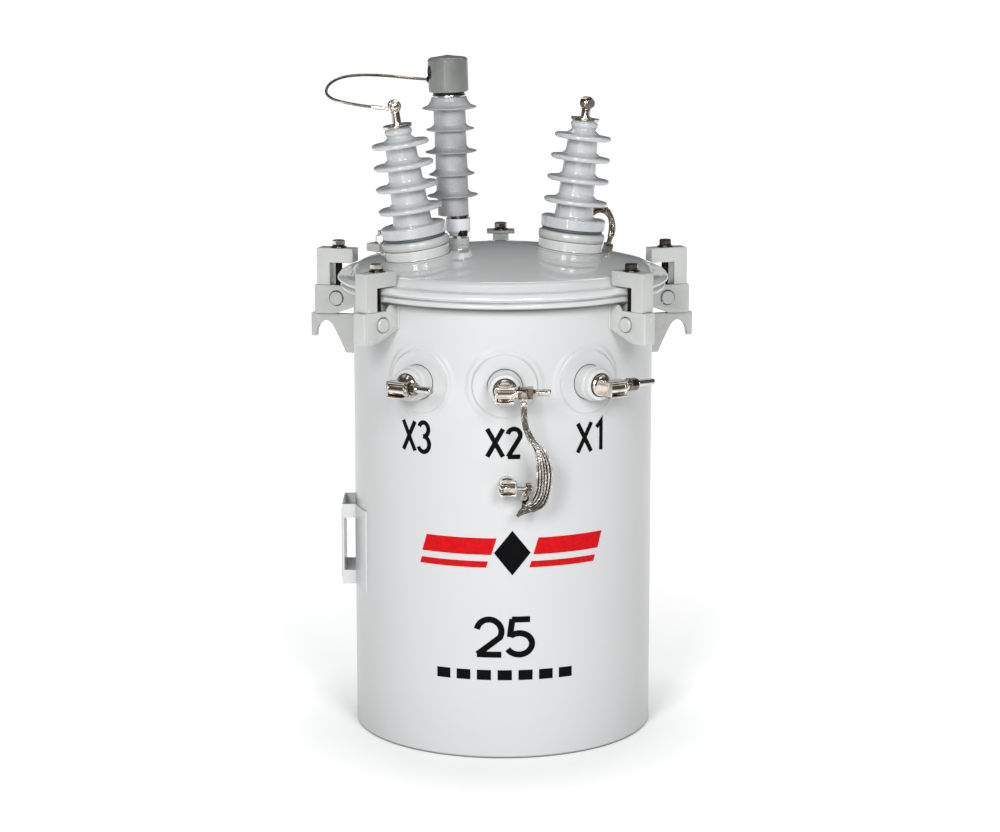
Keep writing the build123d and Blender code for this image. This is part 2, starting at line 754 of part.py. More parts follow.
# the ground strap's crimped lug, between the middle connector and its nut
with BuildPart() as strap_lug:
    d = radial(lv_az["x2"])
    t = Vector(0, 0, 1).cross(d)
    o = Vector(d.X * (tank_r + 54), d.Y * (tank_r + 54), lv_z) + t * 23.0
    pl = Plane(origin=o, x_dir=Vector(0, 0, 1), z_dir=t)
    with BuildSketch(pl):
        with Locations((-1.6, 0)):
            RectangleRounded(19.8, 17, 3)
        Circle(stud_d / 2, mode=Mode.SUBTRACT)
    extrude(amount=9.0)
strap_lug.part.label = "strap_lug_upper"
export_step(strap_lug.part, "parts/strap_lug_upper.step")

# ---------------------------------------------------------- ground connector
ground_z = 431.5
ground_az = 1.5
with BuildPart() as gboss:
    with BuildSketch(wall_plane(ground_az, ground_z, tank_r - 6)):
        Circle(14)
    extrude(amount=12)
    with BuildSketch(Plane.XY.offset(380)):
        Circle(tank_r)
    extrude(amount=100, mode=Mode.SUBTRACT)
gboss.part.label = "ground_boss"
export_step(gboss.part, "parts/ground_boss.step")

with BuildPart() as gcon:
    with BuildSketch(wall_plane(ground_az, ground_z, tank_r + 6)):
        Circle(9.5)
    extrude(amount=14)
    with BuildSketch(wall_plane(ground_az, ground_z, tank_r + 20)):
        with Locations((1.0, 0)):
            RectangleRounded(26, 23, 5)
    extrude(amount=16)
gcon.part.label = "ground_connector"
export_step(gcon.part, "parts/ground_connector.step")

with BuildPart() as gstud:
    d = radial(ground_az)
    t = Vector(0, 0, 1).cross(d)
    o = Vector(d.X * (tank_r + 28), d.Y * (tank_r + 28), ground_z) + t * 14
    pl = Plane(origin=o, x_dir=Vector(0, 0, 1), z_dir=t)
    with BuildSketch(pl):
        Circle(4.0)
    extrude(amount=24)
    with BuildSketch(pl.offset(15)):
        RegularPolygon(9.0, 6)
    extrude(amount=7)
gstud.part.label = "ground_stud"
export_step(gstud.part, "parts/ground_stud.step")

# small terminal at the back left: bracket on the wall, long stud, block held by two nuts
term_az, term_r = -131.8, 269.0
with BuildPart() as stud_bracket:
    with BuildSketch(radial_plane(term_az)):
        with BuildLine():
            Polyline((tank_r - 3, 664), (262, 664), (282, 676), (282, 690), (tank_r - 3, 690), (tank_r - 3, 664))
        make_face()
    extrude(amount=12, both=True)
    with BuildSketch(Plane.XY.offset(640)):
        Circle(tank_r)
    extrude(amount=60, mode=Mode.SUBTRACT)
    with BuildSketch(radial_plane(term_az)):
        with BuildLine():
            Polyline((254, 731), (283, 731), (283, 744), (254, 744), (254, 731))
        make_face()
    extrude(amount=17, both=True)
    with BuildSketch(Plane.XY.offset(640)):
        with Locations((radial(term_az).X * term_r, radial(term_az).Y * term_r)):
            Circle(4.0)
    extrude(amount=120, mode=Mode.SUBTRACT)
stud_bracket.part.label = "terminal_bracket"
export_step(stud_bracket.part, "parts/terminal_bracket.step")

with BuildPart() as back_stud:
    c = (radial(term_az).X * term_r, radial(term_az).Y * term_r)
    for z0, hgt, rad_, hexa in ((660.0, 104.5, 4.0, False), (690.0, 6.0, 8.5, True), (724.5, 6.5, 7.5, True),
                                (744.0, 1.6, 9.0, False), (745.6, 6.5, 7.5, True), (752.1, 4.5, 7.5, True)):
        with BuildSketch(Plane.XY.offset(z0)):
            with Locations(c):
                if hexa:
                    RegularPolygon(rad_, 6)
                else:
                    Circle(rad_)
        extrude(amount=hgt)
back_stud.part.label = "terminal_stud"
export_step(back_stud.part, "parts/terminal_stud.step")

# ------------------------------------------------------------- pole brackets
for name, zc_ in (("upper", hanger_z_top), ("lower", hanger_z_top - hanger_spacing)):
    with BuildPart() as hanger:
        with BuildSketch(Plane.XY.offset(zc_ - 38)):
            with BuildLine():
                Polyline(
                    (-70, 200),
                    (-70, 224.0),
                    (-38, hanger_face_y),
                    (38, hanger_face_y),
                    (70, 224.0),
                    (70, 200),
                    (-70, 200),
                )
            make_face()
        extrude(amount=76)
        with BuildSketch(Plane.XY.offset(zc_ - 50)):
            with BuildLine():
                Polyline(
                    (-62.6, 150),
                    (-62.6, 223.4),
                    (-33.4, hanger_face_y - 7),
                    (33.4, hanger_face_y - 7),
                    (62.6, 223.4),
                    (62.6, 150),
                    (-62.6, 150),
                )
            make_face()
        extrude(amount=100, mode=Mode.SUBTRACT)
        with BuildSketch(Plane.XY.offset(zc_ - 60)):
            Circle(tank_r)
        extrude(amount=120, mode=Mode.SUBTRACT)
        with BuildSketch(Plane.XZ.offset(-hanger_face_y - 5)):
            with Locations((0, zc_)):
                SlotOverall(hanger_slot_l, hanger_slot_w, rotation=90)
        extrude(amount=20, mode=Mode.SUBTRACT)
    hanger.part.label = "hanger_bracket_" + name
    export_step(hanger.part, "parts/hanger_bracket_" + name + ".step")

# ----------------------------------------------------------------- nameplate
# hat-shaped sheet bracket on the left: wall flanges, two bands a side, outer face
np_x = -254.0
np_y0, np_y1 = -50.0, 34.0
np_z0, np_z1 = 230.0, 359.0
np_band = 22.0
np_t = 3.0
with BuildPart() as np_bracket:
    with BuildSketch(Plane.XY.offset(np_z0)):
        with Locations(((np_x - 200) / 2, (np_y0 + np_y1) / 2)):
            Rectangle(abs(np_x) - 200, np_y1 - np_y0)
    extrude(amount=np_z1 - np_z0)
    with BuildSketch(Plane.XY.offset(np_z0 - 5)):
        with Locations(((np_x + np_t - 200) / 2, (np_y0 + np_y1) / 2)):
            Rectangle(abs(np_x) - np_t - 200, np_y1 - np_y0 - 2 * np_t)
    extrude(amount=np_z1 - np_z0 + 10, mode=Mode.SUBTRACT)
    with BuildSketch(Plane.XY.offset(np_z0 + np_band)):
        with Locations(((np_x + np_t - 200) / 2, (np_y0 + np_y1) / 2)):
            Rectangle(abs(np_x) - np_t - 200, np_y1 - np_y0 + 10)
    extrude(amount=np_z1 - np_z0 - 2 * np_band, mode=Mode.SUBTRACT)
    with BuildSketch(Plane.XY.offset(np_z0)):
        Circle(tank_r + np_t)
        with BuildLine():
            Polyline((0, 0), (-400, -190), (-400, 164), (0, 0))
        make_face(mode=Mode.INTERSECT)
    extrude(amount=np_z1 - np_z0)
    with BuildSketch(Plane.XY.offset(np_z0 - 5)):
        Circle(tank_r)
    extrude(amount=np_z1 - np_z0 + 10, mode=Mode.SUBTRACT)
    with BuildSketch(Plane.XY.offset(np_z0 - 5)):
        with Locations((-240, (np_y0 + np_y1) / 2)):
            Rectangle(21.9, np_y1 - np_y0 - 2 * np_t)
    extrude(amount=np_z1 - np_z0 + 10, mode=Mode.SUBTRACT)
np_bracket.part.label = "nameplate_bracket"
export_step(np_bracket.part, "parts/nameplate_bracket.step")

with BuildPart() as plate:
    with BuildSketch(Plane.YZ.offset(np_x)):
        with Locations(((np_y0 + np_y1) / 2, (np_z0 + np_z1) / 2)):
            RectangleRounded(76, 112, 4)
    extrude(amount=-1.2)
plate.part.label = "nameplate"
export_step(plate.part, "parts/nameplate.step")
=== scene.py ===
# Looks of the pole mounted transformer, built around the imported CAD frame.
# All lengths below are millimetres and become metres when a mesh is made.
import math

import bmesh
import bpy
import numpy as np
from mathutils import Matrix, Vector


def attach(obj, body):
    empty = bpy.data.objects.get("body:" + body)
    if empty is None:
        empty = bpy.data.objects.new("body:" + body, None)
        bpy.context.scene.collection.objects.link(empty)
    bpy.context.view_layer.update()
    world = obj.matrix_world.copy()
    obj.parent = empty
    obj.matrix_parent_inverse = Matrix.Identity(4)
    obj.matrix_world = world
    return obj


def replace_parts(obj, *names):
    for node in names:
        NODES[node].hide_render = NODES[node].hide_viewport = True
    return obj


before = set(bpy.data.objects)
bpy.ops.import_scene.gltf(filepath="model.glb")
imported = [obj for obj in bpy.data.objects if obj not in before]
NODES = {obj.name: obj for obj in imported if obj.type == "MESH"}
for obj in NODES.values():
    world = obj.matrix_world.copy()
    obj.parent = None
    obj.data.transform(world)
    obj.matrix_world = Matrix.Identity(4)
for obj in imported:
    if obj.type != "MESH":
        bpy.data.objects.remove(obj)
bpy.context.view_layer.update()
MM = 0.001
rng = np.random.default_rng(7)

# ------------------------------------------------------------------- camera
cam_data = bpy.data.cameras.new("camera")
cam_data.lens = 101.95
cam_data.sensor_width = 36.0
cam_data.sensor_fit = "HORIZONTAL"
cam_data.clip_end = 200.0
camera = bpy.data.objects.new("camera", cam_data)
camera.location = (0.0, -4.4086, 1.3543)
camera.rotation_euler = (math.radians(90 - 11.08), 0.0, math.radians(0.06))
bpy.context.scene.collection.objects.link(camera)
bpy.context.scene.camera = camera

# --------------------------------------------------------------- dimensions
tank_r, wall_t, tank_top = 235.0, 3.0, 709.0
cover_apex, dome_rs = 764.5, 950.0
clamp_az = {"front_left": -45.2, "front_right": 46.4, "side_left": -108.2, "side_right": 110.0, "rear": 180.8}
clamp_r = {"front_left": 267.0, "front_right": 267.0, "side_left": 276.5, "side_right": 276.5, "rear": 276.5}
lv_az = {"x3": -32.5, "x2": 0.7, "x1": 33.0}
lv_z = 582.5
hv = {
    "left": ((-132.0, -48.0), (-0.151, -0.020, 1.0)),
    "right": ((105.0, 0.0), (0.112, 0.020, 1.0)),
}
arr_foot, arr_dir = (-70.0, 38.0), (-0.020, 0.0, 1.0)
arr_body_foot, arr_body_dir = (-76.5, 38.0), (-0.035, 0.0, 1.0)


def dome_z(x, y):
    return cover_apex - dome_rs + math.sqrt(dome_rs**2 - x * x - y * y)


def radial(az):
    a = math.radians(az)
    return Vector((math.sin(a), -math.cos(a), 0.0))


def foot_point(foot):
    return Vector((foot[0], foot[1], dome_z(*foot)))


# ------------------------------------------------------------ mesh builders
def finish_mesh(name, verts, faces, mat, sharp=35.0, normals=True):
    me = bpy.data.meshes.new(name)
    me.from_pydata([tuple(float(c) * MM for c in v) for v in verts], [], [tuple(int(i) for i in f) for f in faces])
    if normals:
        bm = bmesh.new()
        bm.from_mesh(me)
        bmesh.ops.remove_doubles(bm, verts=bm.verts, dist=1e-6)
        bmesh.ops.recalc_face_normals(bm, faces=bm.faces)
        bm.to_mesh(me)
        bm.free()
    me.polygons.foreach_set("use_smooth", [True] * len(me.polygons))
    me.set_sharp_from_angle(angle=math.radians(sharp))
    ob = bpy.data.objects.new(name, me)
    bpy.context.scene.collection.objects.link(ob)
    if mat is not None:
        me.materials.append(mat)
    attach(ob, "root")
    return ob


def soften(points, n=5):
    """points are (r, s) or (r, s, radius): corners with a radius become arcs."""
    pts = [(p[0], p[1], p[2] if len(p) > 2 else 0.0) for p in points]
    out = []
    for i, (x, y, rad) in enumerate(pts):
        if rad <= 0 or i == 0 or i == len(pts) - 1:
            out.append((x, y))
            continue
        p = Vector((x, y))
        a = Vector(pts[i - 1][:2]) - p
        b = Vector(pts[i + 1][:2]) - p
        la, lb = a.length, b.length
        a.normalize()
        b.normalize()
        ang = math.acos(max(-1, min(1, a.dot(b))))
        if ang > math.pi - 0.02 or ang < 0.02:
            out.append((x, y))
            continue
        cut = rad / math.tan(ang / 2)
        cut = min(cut, 0.48 * la, 0.48 * lb)
        rr = cut * math.tan(ang / 2)
        c = p + (a + b).normalized() * (rr / math.sin(ang / 2))
        p0, p1 = p + a * cut, p + b * cut
        a0 = math.atan2(p0.y - c.y, p0.x - c.x)
        a1 = math.atan2(p1.y - c.y, p1.x - c.x)
        d = (a1 - a0 + math.pi) % (2 * math.pi) - math.pi
        for k in range(n + 1):
            t = a0 + d * k / n
            out.append((c.x + rr * math.cos(t), c.y + rr * math.sin(t)))
    return out


def axis_frame(direction, hint=(1, 0, 0)):
    d = Vector(direction).normalized()
    u = Vector(hint) - d * Vector(hint).dot(d)
    u.normalize()
    return u, d.cross(u), d


def lathe_data(origin, direction, profile, seg=128):
    """profile: (r, s) from one end to the other; closed on the axis where r is 0."""
    u, v, d = axis_frame(direction, (1, 0, 0) if abs(Vector(direction).normalized().x) < 0.9 else (0, 1, 0))
    o = Vector(origin)
    verts, faces, rows = [], [], []
    for r, s in profile:
        c = o + d * s
        if r < 1e-6:
            rows.append([len(verts)])
            verts.append(tuple(c))
        else:
            row = []
            for k in range(seg):
                t = 2 * math.pi * k / seg
                row.append(len(verts))
                verts.append(tuple(c + u * (r * math.cos(t)) + v * (r * math.sin(t))))
            rows.append(row)
    for a, b in zip(rows[:-1], rows[1:]):
        if len(a) == 1 and len(b) == 1:
            continue
        if len(a) == 1:
            for k in range(seg):
                faces.append((a[0], b[(k + 1) % seg], b[k]))
        elif len(b) == 1:
            for k in range(seg):
                faces.append((a[k], a[(k + 1) % seg], b[0]))
        else:
            for k in range(seg):
                faces.append((a[k], a[(k + 1) % seg], b[(k + 1) % seg], b[k]))
    return verts, faces


def lathe(name, origin, direction, profile, mat, seg=128, sharp=35.0):
    v, f = lathe_data(origin, direction, profile, seg)
    return finish_mesh(name, v, f, mat, sharp)


def join_data(parts):
    verts, faces = [], []
    for v, f in parts:
        n = len(verts)
        verts += list(v)
        faces += [tuple(i + n for i in q) for q in f]
    return verts, faces


def prism_data(poly, to3, width):
    """poly: (a, b) outline; to3(a, b, w) gives the point; from -width/2 to width/2."""
    n = len(poly)
    verts = [tuple(to3(a, b, -width / 2)) for a, b in poly] + [tuple(to3(a, b, width / 2)) for a, b in poly]
    faces = [tuple(range(n - 1, -1, -1)), tuple(range(n, 2 * n))]
    for i in range(n):
        j = (i + 1) % n
        faces.append((i, j, j + n, i + n))
    return verts, faces


def bevelled(name, verts, faces, mat, width, segments=3, angle=25.0, sharp=40.0):
    """a closed solid with every edge over the angle rounded"""
    me = bpy.data.meshes.new(name)
    me.from_pydata([tuple(float(c) * MM for c in v) for v in verts], [], faces)
    bm = bmesh.new()
    bm.from_mesh(me)
    bmesh.ops.recalc_face_normals(bm, faces=bm.faces)
    edges = [e for e in bm.edges if len(e.link_faces) == 2 and e.calc_face_angle(0) > math.radians(angle)]
    bmesh.ops.bevel(bm, geom=edges, offset=width * MM, offset_type="OFFSET", segments=segments, profile=0.5,
                    affect="EDGES", clamp_overlap=True)
    bmesh.ops.recalc_face_normals(bm, faces=bm.faces)
    bm.to_mesh(me)
    bm.free()
    me.polygons.foreach_set("use_smooth", [True] * len(me.polygons))
    me.set_sharp_from_angle(angle=math.radians(sharp))
    ob = bpy.data.objects.new(name, me)
    bpy.context.scene.collection.objects.link(ob)
    me.materials.append(mat)
    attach(ob, "root")
    return ob


def merge_objects(name, obs):
    """several pieces as one mesh"""
    bm = bmesh.new()
    mats = []
    for o in obs:
        me = o.data
        base = []
        for m in me.materials:
            if m not in mats:
                mats.append(m)
            base.append(mats.index(m))
        n = len(bm.faces)
        bm.from_mesh(me)
        bm.faces.ensure_lookup_table()
        for f in bm.faces[n:]:
            f.material_index = base[f.material_index] if base else 0
    me = bpy.data.meshes.new(name)
    bm.to_mesh(me)
    bm.free()
    for m in mats:
        me.materials.append(m)
    sharp = []
    for o in obs:
        a = o.data.attributes.get("sharp_edge")
        vals = [False] * len(o.data.edges)
        if a:
            a.data.foreach_get("value", vals)
        sharp += vals
    if "sharp_edge" not in me.attributes:
        me.attributes.new("sharp_edge", "BOOLEAN", "EDGE")
    if len(sharp) == len(me.edges):
        me.attributes["sharp_edge"].data.foreach_set("value", sharp)
    me.polygons.foreach_set("use_smooth", [True] * len(me.polygons))
    ob = bpy.data.objects.new(name, me)
    bpy.context.scene.collection.objects.link(ob)
    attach(ob, "root")
    for o in obs:
        old = o.data
        bpy.data.objects.remove(o)
        bpy.data.meshes.remove(old)
    return ob


# ---------------------------------------------------------------- materials
def new_material(name):
    m = bpy.data.materials.new(name)
    m.use_nodes = True
    nt = m.node_tree
    nt.nodes.clear()
    out = nt.nodes.new("ShaderNodeOutputMaterial")
    b = nt.nodes.new("ShaderNodeBsdfPrincipled")
    nt.links.new(b.outputs["BSDF"], out.inputs["Surface"])
    return m, nt, b


def coords(nt, scale=(1, 1, 1)):
    tc = nt.nodes.new("ShaderNodeTexCoord")
    mp = nt.nodes.new("ShaderNodeMapping")
    mp.inputs["Scale"].default_value = scale
    nt.links.new(tc.outputs["Object"], mp.inputs["Vector"])
    return mp.outputs["Vector"]


def noise(nt, vec, scale, detail=4.0, rough=0.55, distort=0.0):
    n = nt.nodes.new("ShaderNodeTexNoise")
    n.inputs["Scale"].default_value = scale
    n.inputs["Detail"].default_value = detail
    n.inputs["Roughness"].default_value = rough
    n.inputs["Distortion"].default_value = distort
    nt.links.new(vec, n.inputs["Vector"])
    return n.outputs["Fac"]


def ramp(nt, fac, stops):
    r = nt.nodes.new("ShaderNodeValToRGB")
    while len(r.color_ramp.elements) > 1:
        r.color_ramp.elements.remove(r.color_ramp.elements[-1])
    r.color_ramp.elements[0].position = stops[0][0]
    r.color_ramp.elements[0].color = (*stops[0][1], 1) if len(stops[0][1]) == 3 else stops[0][1]
    for p, c in stops[1:]:
        e = r.color_ramp.elements.new(p)
        e.color = (*c, 1) if len(c) == 3 else c
    nt.links.new(fac, r.inputs["Fac"])
    return r.outputs["Color"]


def remap(nt, fac, lo, hi, a=0.0, b=1.0):
    m = nt.nodes.new("ShaderNodeMapRange")
    m.inputs["From Min"].default_value = a
    m.inputs["From Max"].default_value = b
    m.inputs["To Min"].default_value = lo
    m.inputs["To Max"].default_value = hi
    nt.links.new(fac, m.inputs["Value"])
    return m.outputs["Result"]


def mix_col(nt, fac, a, b, mode="MIX"):
    m = nt.nodes.new("ShaderNodeMix")
    m.data_type = "RGBA"
    m.blend_type = mode
    for sock, val in ((m.inputs[0], fac), (m.inputs[6], a), (m.inputs[7], b)):
        if isinstance(val, (int, float)):
            sock.default_value = val
        elif isinstance(val, (tuple, list)):
            sock.default_value = (*val, 1)
        else:
            nt.links.new(val, sock)
    return m.outputs[2]


def bump(nt, bsdf, parts):
    """parts: (height, strength, distance in metres), chained into the shader's normal"""
    prev = None
    for h, strength, dist in parts:
        bp = nt.nodes.new("ShaderNodeBump")
        bp.inputs["Strength"].default_value = strength
        bp.inputs["Distance"].default_value = dist
        nt.links.new(h, bp.inputs["Height"])
        if prev is not None:
            nt.links.new(prev, bp.inputs["Normal"])
        prev = bp.outputs["Normal"]
    nt.links.new(prev, bsdf.inputs["Normal"])


def edge_wear(nt, lo=0.52, hi=0.6):
    g = nt.nodes.new("ShaderNodeNewGeometry")
    return remap(nt, g.outputs["Pointiness"], 0.0, 1.0, lo, hi)


def enamel(name, base=(0.520, 0.535, 0.533), rough=(0.15, 0.26), peel=0.10, wavy=0.0, dirt=0.05, coat=0.12, spec=0.5, painted_shade=(), speck_share=0.30):
    m, nt, b = new_material(name)
    v = coords(nt)
    big = noise(nt, v, 6.0, 3.0)
    mid = noise(nt, v, 38.0, 4.0, 0.6)
    fine = noise(nt, v, 420.0, 2.0, 0.5)
    dark = tuple(c * (1 - dirt) for c in base)
    light = tuple(min(1, c * (1 + dirt * 0.35)) for c in base)
    col = ramp(nt, big, [(0.30, dark), (0.55, base), (0.75, light)])
    col = mix_col(nt, remap(nt, mid, 0.0, 0.5, 0.45, 0.80), col, tuple(c * (1 - dirt * 1.2) for c in base))
    # dust that settles in small specks
    if speck_share:
        speck = noise(nt, v, 900.0, 1.0, 0.4)
        col = mix_col(nt, remap(nt, speck, 0.0, speck_share, 0.74, 0.80), col, tuple(c * 0.72 for c in base))
    # painted shade at given levels, such as the shade under the rim and at the base edge: (no shade at z0, full shade
    # at z1, share)
    for z0, z1, share in painted_shade:
        xyz = nt.nodes.new("ShaderNodeSeparateXYZ")
        nt.links.new(v, xyz.inputs[0])
        col = mix_col(nt, remap(nt, xyz.outputs["Z"], 0.0, share, z0, z1), col, (0.035, 0.036, 0.036))
    nt.links.new(col, b.inputs["Base Color"])
    nt.links.new(remap(nt, mid, rough[0], rough[1], 0.35, 0.70), b.inputs["Roughness"])
    b.inputs["IOR"].default_value = 1.5
    b.inputs["Specular IOR Level"].default_value = spec
    b.inputs["Coat Weight"].default_value = coat
    b.inputs["Coat Roughness"].default_value = 0.05
    parts = [(fine, peel, 0.0004)]
    if wavy:
        parts.insert(0, (noise(nt, coords(nt, (1, 1, 0.25)), 9.0, 2.0, 0.5), wavy, 0.004))
    bump(nt, b, parts)
    return m


def glaze(name, base=(0.470, 0.488, 0.495), coat=0.5):
    m, nt, b = new_material(name)
    v = coords(nt)
    big = noise(nt, v, 22.0, 4.0, 0.55)
    pin = noise(nt, v, 700.0, 1.0, 0.4)
    col = ramp(nt, big, [(0.30, tuple(c * 0.93 for c in base)), (0.6, base), (0.8, tuple(min(1, c * 1.05) for c in base))])
    col = mix_col(nt, remap(nt, pin, 0.0, 0.55, 0.76, 0.82), col, (0.33, 0.30, 0.27))
    nt.links.new(col, b.inputs["Base Color"])
    nt.links.new(remap(nt, big, 0.05, 0.12, 0.3, 0.7), b.inputs["Roughness"])
    b.inputs["IOR"].default_value = 1.52
    b.inputs["Coat Weight"].default_value = coat
    b.inputs["Coat Roughness"].default_value = 0.03
    bump(nt, b, [(noise(nt, v, 60.0, 2.0), 0.12, 0.0008), (pin, 0.05, 0.0002)])
    return m


def rubber(name, base=(0.018, 0.022, 0.026), rough=(0.45, 0.7), scale=300.0, spec=0.5, rough_bump=0.18):
    m, nt, b = new_material(name)
    v = coords(nt)
    n = noise(nt, v, scale, 4.0, 0.6)
    big = noise(nt, v, 18.0, 3.0)
    col = ramp(nt, big, [(0.3, tuple(c * 0.8 for c in base)), (0.7, tuple(c * 1.3 for c in base))])
    nt.links.new(col, b.inputs["Base Color"])
    nt.links.new(remap(nt, n, rough[0], rough[1], 0.3, 0.7), b.inputs["Roughness"])
    b.inputs["Specular IOR Level"].default_value = spec
    bump(nt, b, [(n, rough_bump, 0.0003)])
    return m


def metal(name, base, dark, rough=(0.16, 0.34), scale=90.0, stain=0.5, scratch=0.25, bumpy=0.12, shade_and_dark_levels=()):
    m, nt, b = new_material(name)
    v = coords(nt)
    big = noise(nt, v, scale, 5.0, 0.65, 0.4)
    fine = noise(nt, v, scale * 9, 3.0, 0.6)
    streak = noise(nt, coords(nt, (1.0, 1.0, 0.08)), scale * 6, 2.0, 0.6)
    col = ramp(nt, big, [(0.25, dark), (0.25 + 0.4 * stain, tuple((a + c) / 2 for a, c in zip(base, dark))), (0.72, base)])
    col = mix_col(nt, remap(nt, fine, 0.0, 0.45, 0.55, 0.80), col, tuple(c * 0.55 for c in base))
    # darker at given levels: painted shade where the strap folds under at its lower end, and a darker upper end: (none
    # at z0, full at z1, share)
    for z0, z1, share in shade_and_dark_levels:
        xyz = nt.nodes.new("ShaderNodeSeparateXYZ")
        nt.links.new(v, xyz.inputs[0])
        col = mix_col(nt, remap(nt, xyz.outputs["Z"], 0.0, share, z0, z1), col, (0.030, 0.025, 0.021))
    nt.links.new(col, b.inputs["Base Color"])
    b.inputs["Metallic"].default_value = 1.0
    nt.links.new(remap(nt, big, rough[1], rough[0], 0.25, 0.75), b.inputs["Roughness"])
    bump(nt, b, [(fine, bumpy, 0.0003), (streak, scratch * 0.3, 0.0002)])
    return m


# painted shade on the tank: a dark band on the wall just under the rim, and a thin dark line along the base edge
M_TANK = enamel("tank_enamel_sheet", rough=(0.275, 0.290), coat=0.04, spec=0.34, wavy=0.03, dirt=0.010, peel=0.015, speck_share=0.0, painted_shade=((0.6938, 0.6970, 0.75), (0.0042, 0.0014, 0.80)))
# painted shade on the rim: its downward facing underside is darkened
M_RIM = enamel("tank_enamel_rim", base=(0.530, 0.542, 0.538), rough=(0.12, 0.20), painted_shade=((0.7032, 0.7008, 0.92),))
M_ENAMEL = enamel("tank_enamel_castings", base=(0.470, 0.478, 0.467), rough=(0.18, 0.30), peel=0.16, dirt=0.05, speck_share=0.15)
M_COVER = enamel("tank_enamel_cover", base=(0.560, 0.573, 0.571), rough=(0.05, 0.10), peel=0.06, coat=0.45, speck_share=0.0)
M_GLAZE = glaze("porcelain_glaze")
M_GLAZE_LV = glaze("porcelain_glaze_white", base=(0.570, 0.575, 0.567), coat=0.4)
M_GASKET = rubber("gasket_rubber", base=(0.060, 0.080, 0.090))
M_SEAL = rubber("joint_sealant", base=(0.14, 0.145, 0.145), rough=(0.35, 0.5))
M_COVER_GASKET = rubber("cover_gasket_rubber", base=(0.27, 0.28, 0.285))
M_SHED = rubber("polymer_sheds", base=(0.335, 0.340, 0.345), rough=(0.22, 0.36), scale=500.0)
M_GUARD = rubber("guard_plastic", base=(0.168, 0.176, 0.167), rough=(0.16, 0.26), scale=90.0, rough_bump=0.04)
M_BLACK = rubber("black_plastic", base=(0.005, 0.005, 0.006), rough=(0.30, 0.45), spec=0.25)
M_HANGER = enamel("hanger_plastic", base=(0.70, 0.73, 0.76), rough=(0.18, 0.30), peel=0.06, dirt=0.03)
M_ALU = metal("bare_metal", (0.80, 0.80, 0.79), (0.45, 0.44, 0.42), rough=(0.14, 0.28), scale=40.0, bumpy=0.04)
M_BRONZE = metal("tinned_bronze", (0.88, 0.84, 0.79), (0.40, 0.34, 0.28), rough=(0.06, 0.15), scale=42.0, bumpy=0.03)
M_DARKBRONZE = metal("aged_bronze", (0.58, 0.50, 0.42), (0.09, 0.07, 0.055), rough=(0.07, 0.16), scale=60.0, bumpy=0.03)
M_STEEL = metal("zinc_steel", (0.84, 0.81, 0.77), (0.28, 0.25, 0.21), rough=(0.06, 0.15), scale=50.0, bumpy=0.03)
M_DARKSTEEL = metal("oiled_steel", (0.26, 0.235, 0.215), (0.02, 0.018, 0.017), rough=(0.08, 0.18), scale=90.0, bumpy=0.04)
# near black steel: on the bolt shanks this is painted shade, for the shade under the rim and the jaws; the spring
# washers use it too
M_SHANK = metal("dark_steel_and_painted_shade", (0.10, 0.09, 0.075), (0.012, 0.011, 0.010), rough=(0.20, 0.36), scale=120.0)
# the braid is darkened at its lower fold as painted shade, and at its upper end
M_BRAID = metal("copper_braid", (0.90, 0.86, 0.81), (0.30, 0.25, 0.21), rough=(0.24, 0.36), scale=120.0, bumpy=0.03,
                shade_and_dark_levels=((0.494, 0.516, 0.72), (0.426, 0.406, 0.78)))
# near black braid material: painted shade for the band that makes the gaps between strap bundles dark
M_BRAID_SHADE_SHEET = metal("copper_braid_core", (0.030, 0.025, 0.021), (0.008, 0.007, 0.006), rough=(0.40, 0.60), scale=70.0, bumpy=0.03)
M_BRAID_DARK = metal("aged_braid", (0.60, 0.51, 0.42), (0.07, 0.052, 0.04), rough=(0.16, 0.28), scale=90.0, bumpy=0.03)
M_LEAD = metal("lead_strand", (0.27, 0.235, 0.20), (0.08, 0.065, 0.05), rough=(0.28, 0.40), scale=60.0, bumpy=0.03)


def paint(name, base):
    m, nt, b = new_material(name)
    v = coords(nt)
    n = noise(nt, v, 160.0, 4.0, 0.6)
    col = ramp(nt, n, [(0.3, tuple(c * 0.85 for c in base)), (0.7, tuple(min(1, c * 1.15 + 0.0008) for c in base))])
    nt.links.new(col, b.inputs["Base Color"])
    nt.links.new(remap(nt, n, 0.42, 0.55, 0.3, 0.7), b.inputs["Roughness"])
    b.inputs["Specular IOR Level"].default_value = 0.03
    bump(nt, b, [(n, 0.05, 0.0002)])
    return m


M_INK = paint("ink_black", (0.003, 0.003, 0.0035))
M_RED = paint("ink_red", (0.50, 0.006, 0.009))

# -------------------------------------------------------------------- cords
lead_route = [
    (-119.6, 36.5, 1020.3), (-148.5, 33.0, 1022.6), (-179.4, 28.0, 1026.3), (-211.8, 20.5, 1028.3),
    (-237.0, 13.0, 1027.7), (-256.9, 4.0, 1023.8), (-270.4, -8.0, 1015.4), (-274.4, -25.5, 1003.6),
    (-262.3, -39.0, 994.8), (-240.6, -47.0, 990.2), (-220.2, -50.5, 986.9), (-201.4, -52.5, 984.6),
]
bond_route = [
    (128.5, 66.0, 781.0), (130.5, 68.5, 794.0), (137.5, 71.5, 806.5), (150.0, 75.0, 814.0),
    (163.0, 79.0, 811.0), (172.0, 83.0, 799.0), (175.0, 87.0, 782.0), (172.6, 91.5, 765.0), (169.0, 95.5, 752.2),
]
strap_route = [
    (31.2, -289.0, 571.0), (31.2, -289.0, 555.5), (31.7, -292.0, 539.5), (35.7, -293.0, 524.5), (44.2, -293.0, 510.0),
    (53.6, -292.0, 496.0), (60.0, -290.0, 479.5), (62.0, -287.0, 459.5), (61.4, -283.0, 439.0),
    (57.5, -279.0, 420.5), (47.0, -275.5, 407.0), (34.0, -274.0, 403.0), (22.0, -273.0, 391.5),
]


